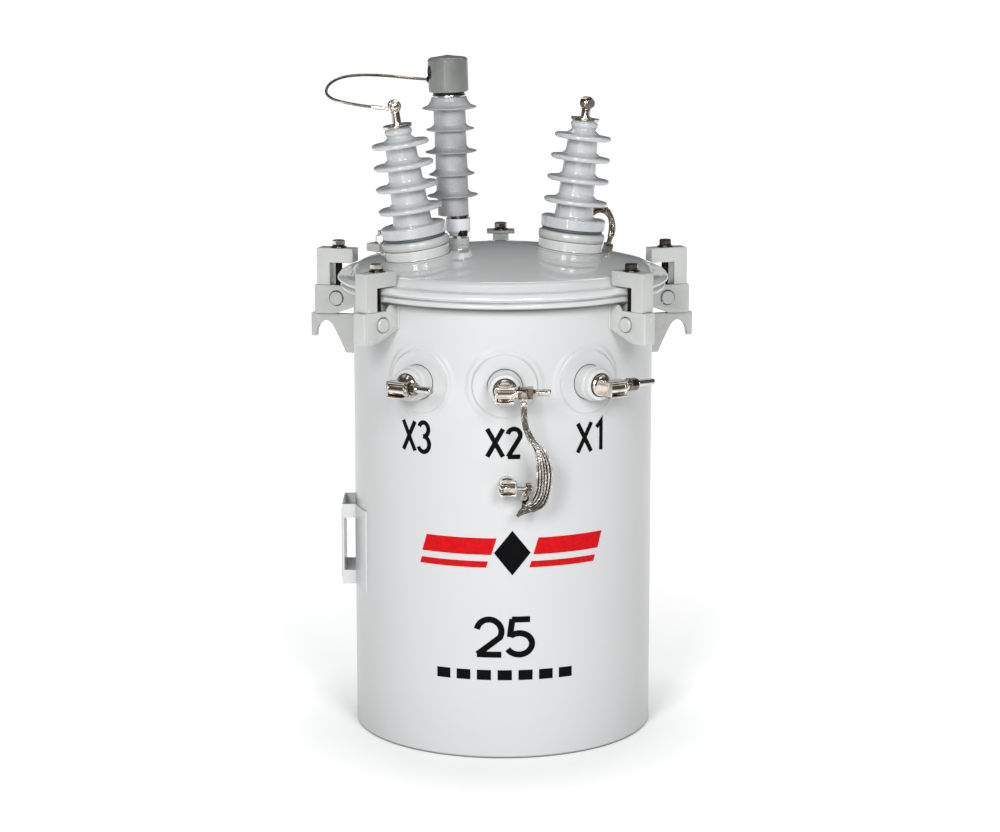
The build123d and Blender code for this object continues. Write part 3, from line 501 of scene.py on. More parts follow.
def centreline(name, route, resolution=24):
    cu = bpy.data.curves.new(name, "CURVE")
    cu.dimensions = "3D"
    sp = cu.splines.new("NURBS")
    sp.points.add(len(route) - 1)
    for p, co in zip(sp.points, route):
        p.co = (co[0] * MM, co[1] * MM, co[2] * MM, 1.0)
    sp.order_u = 3
    sp.use_endpoint_u = True
    cu.resolution_u = resolution
    ob = bpy.data.objects.new(name, cu)
    bpy.context.scene.collection.objects.link(ob)
    bpy.context.view_layer.update()
    me = bpy.data.meshes.new_from_object(ob)
    pts = np.array([v.co[:] for v in me.vertices]) * 1000.0
    bpy.data.meshes.remove(me)
    bpy.data.objects.remove(ob)
    bpy.data.curves.remove(cu)
    return pts


def resample(pts, step):
    d = np.r_[0, np.cumsum(np.linalg.norm(np.diff(pts, axis=0), axis=1))]
    n = max(2, int(round(d[-1] / step)) + 1)
    t = np.linspace(0, d[-1], n)
    return np.stack([np.interp(t, d, pts[:, k]) for k in range(3)], 1), t


def frames_along(pts, ref):
    """tangent, side and normal at each point; ref is the side's wanted direction at the start"""
    tan = np.gradient(pts, axis=0)
    tan /= np.linalg.norm(tan, axis=1)[:, None]
    side = np.zeros_like(pts)
    s = np.array(ref, float)
    for i, t in enumerate(tan):
        s = s - t * (s @ t)
        s /= np.linalg.norm(s)
        side[i] = s
    nor = np.cross(tan, side)
    return tan, side, nor


def tube_data(pts, radius, sides=7, cap=True):
    """round wire along points; radius may vary"""
    pts = np.asarray(pts)
    rad = np.broadcast_to(np.asarray(radius, float), (len(pts),))
    tan = np.gradient(pts, axis=0)
    tan /= np.linalg.norm(tan, axis=1)[:, None] + 1e-12
    ref = np.array([0.3, 0.5, 0.81])
    if abs(tan[0] @ ref) > 0.9:
        ref = np.array([0.9, -0.3, 0.1])
    s = ref
    rows = []
    for i, t in enumerate(tan):
        s = s - t * (s @ t)
        s /= np.linalg.norm(s)
        n = np.cross(t, s)
        a = np.linspace(0, 2 * np.pi, sides, endpoint=False)
        rows.append(pts[i] + rad[i] * (np.cos(a)[:, None] * s + np.sin(a)[:, None] * n))
    verts = np.concatenate(rows)
    k = np.arange(sides)
    faces = []
    for i in range(len(pts) - 1):
        a, b = i * sides, (i + 1) * sides
        for j in range(sides):
            j2 = (j + 1) % sides
            faces.append((a + j, a + j2, b + j2, b + j))
    if cap:
        faces.append(tuple(range(sides - 1, -1, -1)))
        last = (len(pts) - 1) * sides
        faces.append(tuple(last + j for j in range(sides)))
    return [tuple(v) for v in verts], faces


# arrester lead: six strands laid round a core
lead_line = centreline("lead_line", lead_route)
lp, lt = resample(lead_line, 1.6)
ltan, lside, lnor = frames_along(lp, (0, 0, 1))
parts = [tube_data(lp, 0.85, 6)]
for k in range(6):
    ph = 2 * math.pi * k / 6 + lt * 2 * math.pi / 30.0
    parts.append(tube_data(lp + 1.48 * (np.cos(ph)[:, None] * lside + np.sin(ph)[:, None] * lnor), 0.80, 7))
v, f = join_data(parts)
lead = finish_mesh("arrester_lead_strands", v, f, M_LEAD, 50, normals=False)
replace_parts(lead, "arrester_lead")


def flat_braid(name, route, ref, width_of, thick, carriers, wire_r, pitch, mat, step=1.3, per_tow=2, twist=None):
    line = centreline(name + "_line", route)
    p, t = resample(line, step)
    tan, side, nor = frames_along(p, ref)
    if twist is not None:
        a = np.radians(np.interp(t / t[-1], [q[0] for q in twist], [q[1] for q in twist]))
        side, nor = (np.cos(a)[:, None] * side + np.sin(a)[:, None] * nor,
                     -np.sin(a)[:, None] * side + np.cos(a)[:, None] * nor)
    u = t / t[-1]
    half = np.interp(u, [q[0] for q in width_of], [q[1] for q in width_of]) / 2
    th = np.interp(u, [0, 0.06, 0.25, 1], [thick * 1.5, thick * 1.3, thick, thick])
    parts = []
    for k in range(carriers):
        ph = 2 * np.pi * (t / pitch + k / carriers)
        lat = np.arcsin(np.sin(ph)) / (np.pi / 2)
        face = np.sign(np.cos(ph))
        weave = np.cos(ph * carriers / 4 + (k % 2) * np.pi)
        off = 0.34 * th * np.tanh(3 * np.cos(ph)) + 0.16 * th * weave
        for q in range(per_tow):
            dq = (q - (per_tow - 1) / 2) * wire_r * 1.9
            jit = 0.25 * np.interp(t, np.linspace(0, t[-1], 18), rng.normal(0, 1, 18))
            x = lat * (half - wire_r * per_tow) + dq + jit
            y = off + 0.2 * np.interp(t, np.linspace(0, t[-1], 18), rng.normal(0, 1, 18))
            parts.append(tube_data(p + x[:, None] * side + y[:, None] * nor, wire_r, 6))
    v, f = join_data(parts)
    ob = finish_mesh(name, v, f, mat, 50, normals=False)
    return ob, p, t


def bundle_strap(name, route, ref, width_of, bundles, wires, wire_r, lay_r, pitch, mat, step=1.2, twist=None, core=0.0, shade_sheet_mat=None):
    """a strap of side by side twisted bundles, drawn together where the strap is narrow"""
    line = centreline(name + "_line", route)
    p, t = resample(line, step)
    tan, side, nor = frames_along(p, ref)
    u = t / t[-1]
    if twist is not None:
        a = np.radians(np.interp(u, [q[0] for q in twist], [q[1] for q in twist]))
        side, nor = (np.cos(a)[:, None] * side + np.sin(a)[:, None] * nor,
                     -np.sin(a)[:, None] * side + np.cos(a)[:, None] * nor)
    half = np.interp(u, [q[0] for q in width_of], [q[1] for q in width_of]) / 2
    packed = np.clip(1.0 - (half * 2 - 8.0) / 10.0, 0, 1)
    parts = []
    for k in range(bundles):
        f0 = (k - (bundles - 1) / 2) / ((bundles - 1) / 2)
        wander = np.interp(t, np.linspace(0, t[-1], 9), rng.normal(0, 0.35, 9))
        swap = np.sin(2 * np.pi * (t / 34.0 + k / bundles))
        x = f0 * (half - lay_r - wire_r) * (1 - packed) + packed * swap * (half - lay_r) + wander * (1 - packed)
        y = packed * 1.5 * np.cos(2 * np.pi * (t / 34.0 + k / bundles)) + (1 - packed) * 0.5 * np.sin(t / 9.0 + 1.7 * k)
        c = p + x[:, None] * side + y[:, None] * nor
        ct = np.gradient(c, axis=0)
        ct /= np.linalg.norm(ct, axis=1)[:, None]
        cs = side - ct * (side * ct).sum(1)[:, None]
        cs /= np.linalg.norm(cs, axis=1)[:, None]
        cn = np.cross(ct, cs)
        pk = pitch * (1 + 0.12 * math.sin(2.1 * k))
        for q in range(wires):
            ph = 2 * math.pi * (t / pk + q / wires) + 1.3 * k
            parts.append(tube_data(c + lay_r * (np.cos(ph)[:, None] * cs + np.sin(ph)[:, None] * cn), wire_r, 7))
    v, f = join_data(parts)
    if shade_sheet_mat is None:
        return finish_mesh(name, v, f, mat, 50, normals=False), p, t
    wires_ob = finish_mesh(name + "_wires", v, f, mat, 50, normals=False)
    # painted shade: a thin near black flat band on the side away from the viewer of the strap's face, so the gaps
    # between the bundles read dark
    w = np.maximum(half - lay_r - wire_r, 0.9)
    ring = [(-1, -0.4), (1, -0.4), (1, 0.4), (-1, 0.4)]
    rows = [p + (a * w)[:, None] * side + (core + b) * nor for a, b in ring]
    cv = [tuple(rows[j][i]) for i in range(len(p)) for j in range(4)]
    cf = [(i * 4 + j, i * 4 + (j + 1) % 4, i * 4 + 4 + (j + 1) % 4, i * 4 + 4 + j) for i in range(len(p) - 1) for j in range(4)]
    e = (len(p) - 1) * 4
    cf += [(3, 2, 1, 0), (e, e + 1, e + 2, e + 3)]
    band = finish_mesh(name + "_core", cv, cf, shade_sheet_mat, 50)
    return merge_objects(name, [wires_ob, band]), p, t


strap, sp, st = bundle_strap(
    "ground_strap_braid", strap_route, (0, 1, 0),
    [(0, 8), (0.10, 8), (0.26, 9), (0.36, 13), (0.46, 21), (0.55, 25), (0.80, 26), (0.93, 19), (1, 11)],
    6, 3, 0.80, 0.86, 15.0, M_BRAID, step=1.0,
    twist=[(0, 80), (0.3, 84), (0.5, 86), (0.8, 88), (1.0, 60)], core=0.0, shade_sheet_mat=M_BRAID_SHADE_SHEET)
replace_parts(strap, "ground_strap")

bond, bp_, bt = bundle_strap(
    "bonding_strap_braid", bond_route, (0.9, -0.42, 0),
    [(0, 14), (0.15, 17.5), (0.85, 17.5), (1, 14)], 3, 3, 1.15, 1.25, 11.0, M_BRAID_DARK, step=0.8,
    twist=[(0, 0), (0.5, 4), (1.0, 20)], core=0.0, shade_sheet_mat=M_BRAID_SHADE_SHEET)
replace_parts(bond, "bonding_strap")

# --------------------------------------------------------------------- tank
def smooth01(x):
    x = np.clip(x, 0, 1)
    return x * x * (3 - 2 * x)


def pad_radius(az, z):
    """tank surface: a cylinder with three flat raised seats for the low-voltage bushings"""
    r = tank_r
    for a0 in lv_az.values():
        phi = math.radians(az - a0)
        if abs(phi) > 0.6:
            continue
        x = tank_r * math.sin(phi)
        rho = math.hypot(x, z - lv_z)
        if rho > 62.5:
            continue
        flat = (tank_r + 3.0) / math.cos(phi)
        # flat seat, a small step at its edge, then a soft blend down to the wall
        w = 0.66 * float(smooth01((49.2 - rho) / 2.4)) + 0.34 * float(smooth01((61.5 - rho) / 10.5))
        w = 1.0 if rho < 46.6 else w
        channel = 0.9 * math.exp(-((rho - 51.5) / 1.9) ** 2)
        r = max(r, tank_r + (flat - tank_r) * w - channel)
    # seat of the ground connector
    phi = math.radians(az - 1.5)
    if abs(phi) < 0.15:
        rho = math.hypot(tank_r * math.sin(phi), z - 431.5)
        if rho < 17.0:
            r = max(r, tank_r + 1.2 * float(smooth01((17.0 - rho) / 4.0)))
    return r


def tank_mesh():
    az_list = list(np.arange(-57, 57.001, 0.375)) + list(np.arange(60, 303.0, 3.0))
    z_out = [0.0, 0.5, 1.3, 2.5, 6, 30, 80, 140, 200, 260, 320, 380, 405, 412]
    z_out += list(np.arange(414, 452, 1.9)) + [460, 480, 500, 515]
    z_out += list(np.arange(519, 647, 1.5)) + [655, 675, 697, 709]
    rows = []
    for z in z_out:
        inset = 0.0
        if z < 2.5:
            inset = 1.6 * (1 - math.sqrt(max(0.0, 1 - ((2.5 - z) / 2.5) ** 2)))
        rows.append([(pad_radius(a, z) - inset, a, z) for a in az_list])
    for z in (709.0, 300.0, 18.0, 0.8, 0.0):
        rows.append([(tank_r - wall_t + (0.6 if z == 0 else 0), a, z) for a in az_list])
    verts = []
    for row in rows:
        for r, a, z in row:
            t = math.radians(a)
            verts.append((r * math.sin(t), -r * math.cos(t), z))
    n, m = len(az_list), len(rows)
    faces = []
    for i in range(m):
        i2 = (i + 1) % m
        for k in range(n):
            k2 = (k + 1) % n
            faces.append((i * n + k, i * n + k2, i2 * n + k2, i2 * n + k))
    return verts, faces


v, f = tank_mesh()
tank = finish_mesh("tank_wall_sheet", v, f, M_TANK, 30)
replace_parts(tank, "tank_wall", "lv_bosses")

rim = lathe("tank_rim_roll", (0, 0, 0), (0, 0, 1), soften([
    (235.2, 698.0), (253.0, 698.0, 4.2), (255.0, 703.0, 5.0), (255.0, 706.0, 3.0), (253.5, 709.0, 1.6), (235.2, 709.0), (235.2, 698.0)], 6),
    M_RIM, 256, 40)
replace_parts(rim, "tank_rim")
weld = []
for k in range(720):
    t = 2 * math.pi * k / 720
    weld.append((235.6 * math.cos(t), 235.6 * math.sin(t), 697.4 + 0.25 * math.sin(61 * t) * math.sin(7 * t)))
weld.append(weld[0])
v, f = tube_data(weld, 1.5, 6, cap=False)
rim_weld = finish_mesh("tank_rim_weld", v, f, M_TANK, 60, normals=False)

gasket = lathe("cover_gasket_ring", (0, 0, 0), (0, 0, 1), soften([
    (239.0, 709.05), (253.6, 709.05, 0.5), (253.6, 711.95, 0.5), (239.0, 711.95), (239.0, 709.05)], 3), M_COVER_GASKET, 192, 40)
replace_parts(gasket, "cover_gasket")

# -------------------------------------------------------------------- cover
cover_t, shoulder_r, cover_wall_r = 3.0, 22.0, 238.5
rc = cover_wall_r - shoulder_r
th = math.asin(rc / (dome_rs - shoulder_r))
zc = cover_apex - dome_rs + (dome_rs - shoulder_r) * math.cos(th)
prof = [(0.0, cover_apex)]
for k in range(1, 41):
    t = math.asin((dome_rs * math.sin(th)) * k / 40 / dome_rs)
    prof.append((dome_rs * math.sin(t), cover_apex - dome_rs + dome_rs * math.cos(t)))
a_end = math.acos(max(-1.0, min(1.0, (726.2 - zc) / shoulder_r)))
for k in range(1, 15):
    a = th + (a_end - th) * k / 14
    prof.append((rc + shoulder_r * math.sin(a), zc + shoulder_r * math.cos(a)))
# crease, rolled bead, thin hem and underside
r_c = prof[-1][0]
prof += soften([(r_c + 0.3, 725.4), (r_c + 1.6, 724.3, 1.2), (r_c + 5.2, 724.9, 3.0), (255.5, 723.6, 5.0), (259.4, 718.0, 4.0),
                (259.4, 714.6, 1.4), (256.6, 714.2, 0.6), (255.9, 713.6, 0.5), (255.9, 712.1, 0.8), (236.0, 712.1)], 5)
prof += [(235.5, 722.0), (228.0, 734.5), (rc, 738.5), (150.0, 748.5), (60.0, 759.5), (0.0, cover_apex - cover_t)]
cover = lathe("cover_dome", (0, 0, 0), (0, 0, 1), prof, M_COVER, 288, 38)
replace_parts(cover, "cover")

# ------------------------------------------------------------------- clamps
def clamp_point(az):
    r = radial(az)
    w = r.cross(Vector((0, 0, 1)))
    return lambda a, b, c: r * a + Vector((0, 0, b)) + w * c


def polygon_arc(cx, cy, r, a0, a1, n):
    return [(cx + r * math.cos(math.radians(a0 + (a1 - a0) * k / n)), cy + r * math.sin(math.radians(a0 + (a1 - a0) * k / n)))
            for k in range(n + 1)]


def hole_plate(name, outline, hole, hole_r, to3, thick, mat, bevel=0.8, n=16):
    """flat plate with one round hole, in two halves that meet at the hole's level"""
    cx, cz = hole
    pts = list(outline)

    def crossing(p, q):
        t = (cz - p[1]) / (q[1] - p[1])
        return (p[0] + (q[0] - p[0]) * t, cz)
    up, down, cross = [], [], []
    loop = []
    for i, p in enumerate(pts):
        q = pts[(i + 1) % len(pts)]
        loop.append(p)
        if (p[1] - cz) * (q[1] - cz) < 0:
            c = crossing(p, q)
            loop.append(c)
            cross.append(c)
    cross.sort()
    left, right = cross[0], cross[-1]

    def walk(start, end):
        i = loop.index(start)
        out = [start]
        while True:
            i = (i + 1) % len(loop)
            out.append(loop[i])
            if loop[i] == end:
                return out
    one = walk(left, right)
    two = walk(right, left)
    arc_up = [(cx + hole_r * math.cos(math.pi * k / n), cz + hole_r * math.sin(math.pi * k / n)) for k in range(n + 1)]
    arc_dn = [(cx - hole_r * math.cos(math.pi * k / n), cz - hole_r * math.sin(math.pi * k / n)) for k in range(n + 1)]
    upper_first = sum(p[1] for p in one) / len(one) > cz
    # close each half along the hole, from the right end back to the left end
    if upper_first:
        halves = [one + arc_up, two + arc_dn]
    else:
        halves = [one + arc_dn[::-1], two + arc_up[::-1]]
    verts, faces, index = [], [], {}

    def vid(p, w):
        key = (round(p[0], 4), round(p[1], 4), w)
        if key not in index:
            index[key] = len(verts)
            verts.append(tuple(to3(p[0], p[1], w * thick / 2)))
        return index[key]
    rings = [loop, arc_up[:-1] + arc_dn[:-1]]
    for h in halves:
        faces.append(tuple(vid(p, 1) for p in h))
        faces.append(tuple(vid(p, -1) for p in reversed(h)))
    for ring in rings:
        for i, p in enumerate(ring):
            q = ring[(i + 1) % len(ring)]
            faces.append((vid(p, -1), vid(q, -1), vid(q, 1), vid(p, 1)))
    return bevelled(name, verts, faces, mat, bevel, 2, 30)


jaws, brackets, pins, bolts = [], [], [], []
JAW_TOP, BR_HIGH, PIN_Z = 748.5, 689.0, 668.5
for name, az in clamp_az.items():
    to3 = clamp_point(az)
    rb = clamp_r[name]
    low = 642.6 if name.startswith("side") else 640.0
    poly = soften([(rb - 28.5, 727.5), (rb - 28.5, JAW_TOP, 1.2), (rb + 33.0, JAW_TOP, 1.6), (rb + 33.0, 689.5, 1.0), (rb + 11.0, 689.5, 1.0),
                   (rb + 11.0, 725.6, 0.6), (rb - 25.0, 725.6, 0.8), (rb - 28.5, 727.5)][:-1], 3)
    vv, ff = prism_data(poly, to3, 25.5)
    jaws.append(bevelled("jaw_" + name, vv, ff, M_ENAMEL, 2.2, 4, 50))
    seat_z = JAW_TOP
    if name == "rear":
        seat_z = JAW_TOP + 4.5
        vv, ff = prism_data([(rb - 19, JAW_TOP + 0.02), (rb + 19, JAW_TOP + 0.02), (rb + 19, seat_z), (rb - 19, seat_z)], to3, 46.0)
        jaws.append(bevelled("rear_plate", vv, ff, M_ENAMEL, 0.8, 2, 40))
    # bracket: two cheeks with the pin's hole, rounded fold at the front, a web on top
    t = 4.6
    half = 12.5
    side = soften([(234.5, 659.0), (236.0, 659.0), (279.0, low + 1.0, 6.0), (rb + 35.6, low), (rb + 35.6, BR_HIGH), (258.0, BR_HIGH, 2.0),
                   (255.6, 692.4, 2.0), (251.4, 697.55, 0.8), (234.5, 697.55)], 3)
    for sgn in (-1, 1):
        def cheek(a, b, c, sgn=sgn):
            return to3(a, b, sgn * (half - t / 2) + c)
        brackets.append(hole_plate("cheek_" + name, side, (rb, PIN_Z), 12.4, cheek, t, M_ENAMEL, 0.7))

    def front(a, b, c):
        return to3(rb + 35.5 + c, b, a)
    vv, ff = prism_data([(-half + 0.02, low), (half - 0.02, low), (half - 0.02, BR_HIGH), (-half + 0.02, BR_HIGH)], front, 5.0)
    brackets.append(bevelled("face_" + name, vv, ff, M_ENAMEL, 2.3, 5, 30))
    # top web with the bolt's hole, from the fold to the ears
    ring_pts = [(rb + 6.6 * math.cos(math.radians(q)), 6.6 * math.sin(math.radians(q))) for q in range(0, 360, 15)]
    sq = []
    for q in range(0, 360, 15):
        cx, cy = math.cos(math.radians(q)), math.sin(math.radians(q))
        sc = min(33.4 / max(cx, 1e-6) if cx > 0 else 9.0 / max(-cx, 1e-6), 8.0 / max(abs(cy), 1e-6))
        sq.append((rb + cx * sc, cy * sc))
    vv, ff = [], []
    for zz in (BR_HIGH - 4.8, BR_HIGH - 0.1):
        for (a, c) in ring_pts:
            vv.append(tuple(to3(a, zz, c)))
        for (a, c) in sq:
            vv.append(tuple(to3(a, zz, c)))
    n = len(ring_pts)
    for k in range(n):
        k2 = (k + 1) % n
        ff.append((k, k2, n + k2, n + k))
        ff.append((2 * n + k, 3 * n + k, 3 * n + k2, 2 * n + k2))
        ff.append((k, 2 * n + k, 2 * n + k2, k2))
        ff.append((n + k, n + k2, 3 * n + k2, 3 * n + k))
    brackets.append(finish_mesh("web_" + name, vv, ff, M_ENAMEL, 30))
    # weld beads where the cheeks meet the wall
    for sgn in (-1, 1):
        line = []
        for k in range(20):
            zz = 659.5 + 37.5 * k / 19
            c = sgn * (half + 0.4)
            a_w = math.sqrt((tank_r + 0.7) ** 2 - c * c)
            line.append(tuple(to3(a_w, zz, c)))
        vv, ff = tube_data(line, [1.5 + 0.25 * math.sin(2.3 * k) for k in range(20)], 8)
        brackets.append(finish_mesh("weld_" + name, vv, ff, M_ENAMEL, 60))
    # pin heads standing in the holes of both cheeks
    o = to3(rb, PIN_Z, 0)
    w = (to3(0, 0, 1) - to3(0, 0, 0)).normalized()
    pv, pf = lathe_data(o, w, soften([(0, -15.4), (9.6, -15.4, 0.9), (10.7, -14.6, 0.9), (10.7, -8.5), (8.0, -8.4), (8.0, 8.4),
                                      (10.7, 8.5), (10.7, 14.6, 0.9), (9.6, 15.4, 0.9), (0, 15.4)], 4), 56)
    pins.append(finish_mesh("pin_" + name, pv, pf, M_ENAMEL, 40))
    # bolt: washers, hexagon head with a chamfered crown, shank
    c = to3(rb, 0, 0)
    rot = {"front_left": 12, "front_right": 20, "side_left": 8, "side_right": 25, "rear": 15}[name]
    zj = seat_z
    parts = [
        lathe_data(c, (0, 0, 1), soften([(6.5, zj + 0.05), (13.0, zj + 0.05, 0.4), (13.0, zj + 2.0, 0.5), (6.5, zj + 2.0), (6.5, zj + 0.05)], 3), 48),
    ]
    zc_, hr = zj + 5.0, 10.6
    levels = [(9.2, zc_), (hr, zc_ + 0.5), (hr, zc_ + 6.3)]
    hv_, hf_ = [], []
    for (rr, z) in levels:
        for k in range(6):
            a = math.radians(60 * k + rot)
            hv_.append((c.x + rr * math.cos(a), c.y + rr * math.sin(a), z))
    for i in range(len(levels) - 1):
        for k in range(6):
            k2 = (k + 1) % 6
            hf_.append((i * 6 + k, i * 6 + k2, (i + 1) * 6 + k2, (i + 1) * 6 + k))
    base = len(hv_)
    for (rr, z) in ((8.9, zc_ + 7.3), (8.1, zc_ + 7.5)):
        for k in range(24):
            a = math.radians(15 * k + rot)
            hv_.append((c.x + rr * math.cos(a), c.y + rr * math.sin(a), z))
    for k in range(6):
        outer0, outer1 = 12 + k, 12 + (k + 1) % 6
        ring0 = [base + (4 * k + q) % 24 for q in range(5)]
        hf_.append(tuple([outer0, outer1] + ring0[::-1]))
    for k in range(24):
        k2 = (k + 1) % 24
        hf_.append((base + k, base + k2, base + 24 + k2, base + 24 + k))
    hf_.append(tuple(base + 24 + k for k in range(24)))
    hf_.append(tuple(range(5, -1, -1)))
    # spring washer: a split ring with offset ends
    sw_v, sw_f = [], []
    for k in range(33):
        a = math.radians(rot + 40 + 348 * k / 32)
        dz = 0.6 * k / 32
        for (rr, z) in ((6.6, zj + 2.1 + dz), (9.8, zj + 2.1 + dz), (9.8, zj + 4.4 + dz), (6.6, zj + 4.4 + dz)):
            sw_v.append((c.x + rr * math.cos(a), c.y + rr * math.sin(a), z))
    for k in range(32):
        for q in range(4):
            q2 = (q + 1) % 4
            sw_f.append((4 * k + q, 4 * k + q2, 4 * (k + 1) + q2, 4 * (k + 1) + q))
    sw_f += [(3, 2, 1, 0), (128, 129, 130, 131)]
    sprof = [(0, PIN_Z + 0.5), (4.6, PIN_Z + 0.5)]
    z = PIN_Z + 2.0
    while z < zj:
        sprof += [(5.2, z), (6.0, z + 0.9)]
        z += 1.75
    sprof += [(5.9, zj), (5.9, zc_), (0, zc_)]
    vv, ff = lathe_data(c, (0, 0, 1), sprof, 32)
    # the near black shank is painted shade under the jaw
    bolts.append(finish_mesh("shank_" + name, vv, ff, M_SHANK, 30))
    bolts.append(finish_mesh("head_" + name, hv_, hf_, M_DARKSTEEL if name in ("front_right", "side_right", "rear") else M_STEEL, 28))
    bolts.append(finish_mesh("flat_" + name, parts[0][0], parts[0][1], M_DARKSTEEL, 28))
    bolts.append(finish_mesh("spring_" + name, sw_v, sw_f, M_SHANK, 30))
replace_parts(merge_objects("clamp_jaw_set", jaws), "clamp_jaws")
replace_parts(merge_objects("clamp_bracket_set", brackets), "clamp_brackets")
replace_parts(merge_objects("clamp_pin_set", pins), "clamp_pins")
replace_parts(merge_objects("clamp_bolt_set", bolts), "clamp_bolts")

# ------------------------------------------------------------- lifting lugs
lugs = []
for name, az in (("left", -108.2), ("right", 110.0)):
    to3 = clamp_point(az)
    outline = soften([(234.6, 579.5), (264.0, 579.5, 1.6), (272.0, 596.5, 30.0), (280.9, 613.5, 12.0), (285.4, 621.7, 12.0), (290.0, 628.0, 12.0),
                      (296.8, 631.0, 14.0), (303.8, 628.8, 12.0), (309.3, 623.8, 10.0), (313.2, 615.5, 10.0), (314.6, 604.5, 1.2),
                      (323.3, 604.5, 1.2), (323.3, 642.5, 1.6), (234.6, 642.5)], 6)
    vv, ff = prism_data(outline, to3, 10.0)
    plate_ = bevelled("lug_" + name, vv, ff, M_ENAMEL, 1.2, 3, 40)
    vv, ff = prism_data(soften([(234.6, 579.6), (252.0, 579.6, 1.0), (252.0, 642.4, 1.0), (234.6, 642.4)], 3), to3, 17.0)
    foot_ = bevelled("lugfoot_" + name, vv, ff, M_ENAMEL, 2.4, 3, 50)
    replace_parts(merge_objects("lifting_lug_plate_" + name, [plate_, foot_]), "lifting_lug_" + name)

# ------------------------------------------------------------- hv bushings
def hv_profile():
    p = [(0, 33.2), (49.6, 33.2, 0.8), (50.5, 34.6, 1.0), (50.5, 48.4, 1.8), (48.2, 49.9, 1.6), (30.5, 50.6, 3.0)]
    core = 29.6
    for s, r, nxt in ((79.0, 50.0, 27.9), (113.5, 48.8, 26.3), (147.0, 46.8, 24.3), (180.0, 44.6, 20.0)):
        p += [(core - 0.5, s - 5.4, 1.6), (r - 8.0, s - 7.0, 6.0), (r - 1.2, s - 7.6, 1.6), (r, s - 5.0, 2.0), (r - 0.2, s - 1.9, 2.4),
              (r - 3.2, s - 0.4, 2.4), (nxt + 5.5, s + 1.6, 5.0), (nxt + 0.3, s + 5.6, 4.0)]
        core = nxt
    p += [(18.6, 187.5, 2.0), (19.2, 189.5, 2.0), (21.4, 192.6, 2.4), (21.4, 197.2, 2.4), (18.8, 199.4, 1.5), (18.8, 200.9), (0, 200.9)]
    return soften(p, 5)


for side, (foot, direction) in hv.items():
    o = foot_point(foot)
    por = lathe("hv_porcelain_" + side + "_glazed", o, direction, hv_profile(), M_GLAZE, 160, 45)
    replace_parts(por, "hv_porcelain_" + side)
seat, pads, boss, caps = [], [], [], []
for side, (foot, direction) in hv.items():
    o = foot_point(foot)
    seat.append(lathe("seat_" + side, o, direction, soften([
        (0, 14.0), (47.5, 14.0, 1.0), (50.8, 15.4, 2.5), (52.5, 20.5, 5.0), (51.6, 26.4, 4.5), (47.5, 28.0, 1.5), (0, 28.0)], 6), M_ENAMEL, 160, 45))
    pads.append(lathe("pad_" + side, o, direction, soften([(0, 28.05), (46.6, 28.05, 1.0), (47.4, 30.5, 1.5), (46.6, 33.1, 1.0), (0, 33.1)], 4), M_GASKET, 128, 45))
    caps.append(lathe("cap_" + side, o, direction, soften([
        (0, 201.0), (22.0, 201.0, 0.5), (22.5, 201.8, 0.5), (22.5, 205.3, 0.5), (22.0, 205.9, 0.5), (10.5, 206.1), (10.5, 207.2, 0.5),
        (7.3, 207.6, 0.6), (7.0, 209.0), (7.0, 216.0), (0, 216.0)], 5), M_BRONZE, 96, 30))
    # boss follows the dome: stepped collar with a weld fillet, its skirt cut at the dome's surface
    u, w, d = axis_frame(direction)
    rows, verts, faces = [], [], []
    seg = 160
    heights = [(50.5, 14.0), (50.5, 12.5), (50.2, 4.0), (50.3, 2.6), (51.0, 1.2), (52.6, 0.25), (54.5, -0.5)]
    for k in range(seg):
        t = 2 * math.pi * k / seg
        dirv = u * math.cos(t) + w * math.sin(t)
        # height along the axis where the skirt meets the dome at this azimuth
        def surf(r):
            lo, hi = -40.0, 40.0
            for _ in range(40):
                mid = (lo + hi) / 2
                p = o + dirv * r + d * mid
                if (p - Vector((0, 0, cover_apex - dome_rs))).length > dome_rs:
                    hi = mid
                else:
                    lo = mid
            return (lo + hi) / 2
        for i, (r, h) in enumerate(heights):
            s0 = surf(r)
            if i < 2:
                s = h
            else:
                s = s0 + h * (1.0 if h > 3 else 1.0)
                s = min(s, 12.2)
            verts.append(tuple(o + dirv * r + d * s))
    n = len(heights)
    for k in range(seg):
        k2 = (k + 1) % seg
        for i in range(n - 1):
            faces.append((k * n + i, k2 * n + i, k2 * n + i + 1, k * n + i + 1))
    top_c = len(verts)
    verts.append(tuple(o + d * 14.0))
    for k in range(seg):
        k2 = (k + 1) % seg
        faces.append((top_c, k2 * n, k * n))
    bot_c = len(verts)
    verts.append(tuple(o - d * 3.0))
    for k in range(seg):
        k2 = (k + 1) % seg
        faces.append((bot_c, k * n + n - 1, k2 * n + n - 1))
    boss.append(finish_mesh("boss_" + side, verts, faces, M_RIM, 40))
    # sealant in the joint with the cover
    joint = []
    for k in range(seg + 1):
        t = 2 * math.pi * k / seg
        dirv = u * math.cos(t) + w * math.sin(t)
        joint.append(tuple(o + dirv * 50.9 + d * (surf(50.9) + 1.5)))
    vv, ff = tube_data(joint, 0.75, 8, cap=False)
    boss.append(finish_mesh("joint_" + side, vv, ff, M_SEAL, 60, normals=False))
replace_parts(merge_objects("hv_seat_set", seat), "hv_seat_rings")
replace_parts(merge_objects("hv_pad_set", pads), "hv_gaskets")
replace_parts(merge_objects("hv_cap_set", caps), "hv_caps")
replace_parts(merge_objects("hv_boss_set", boss), "hv_bosses")

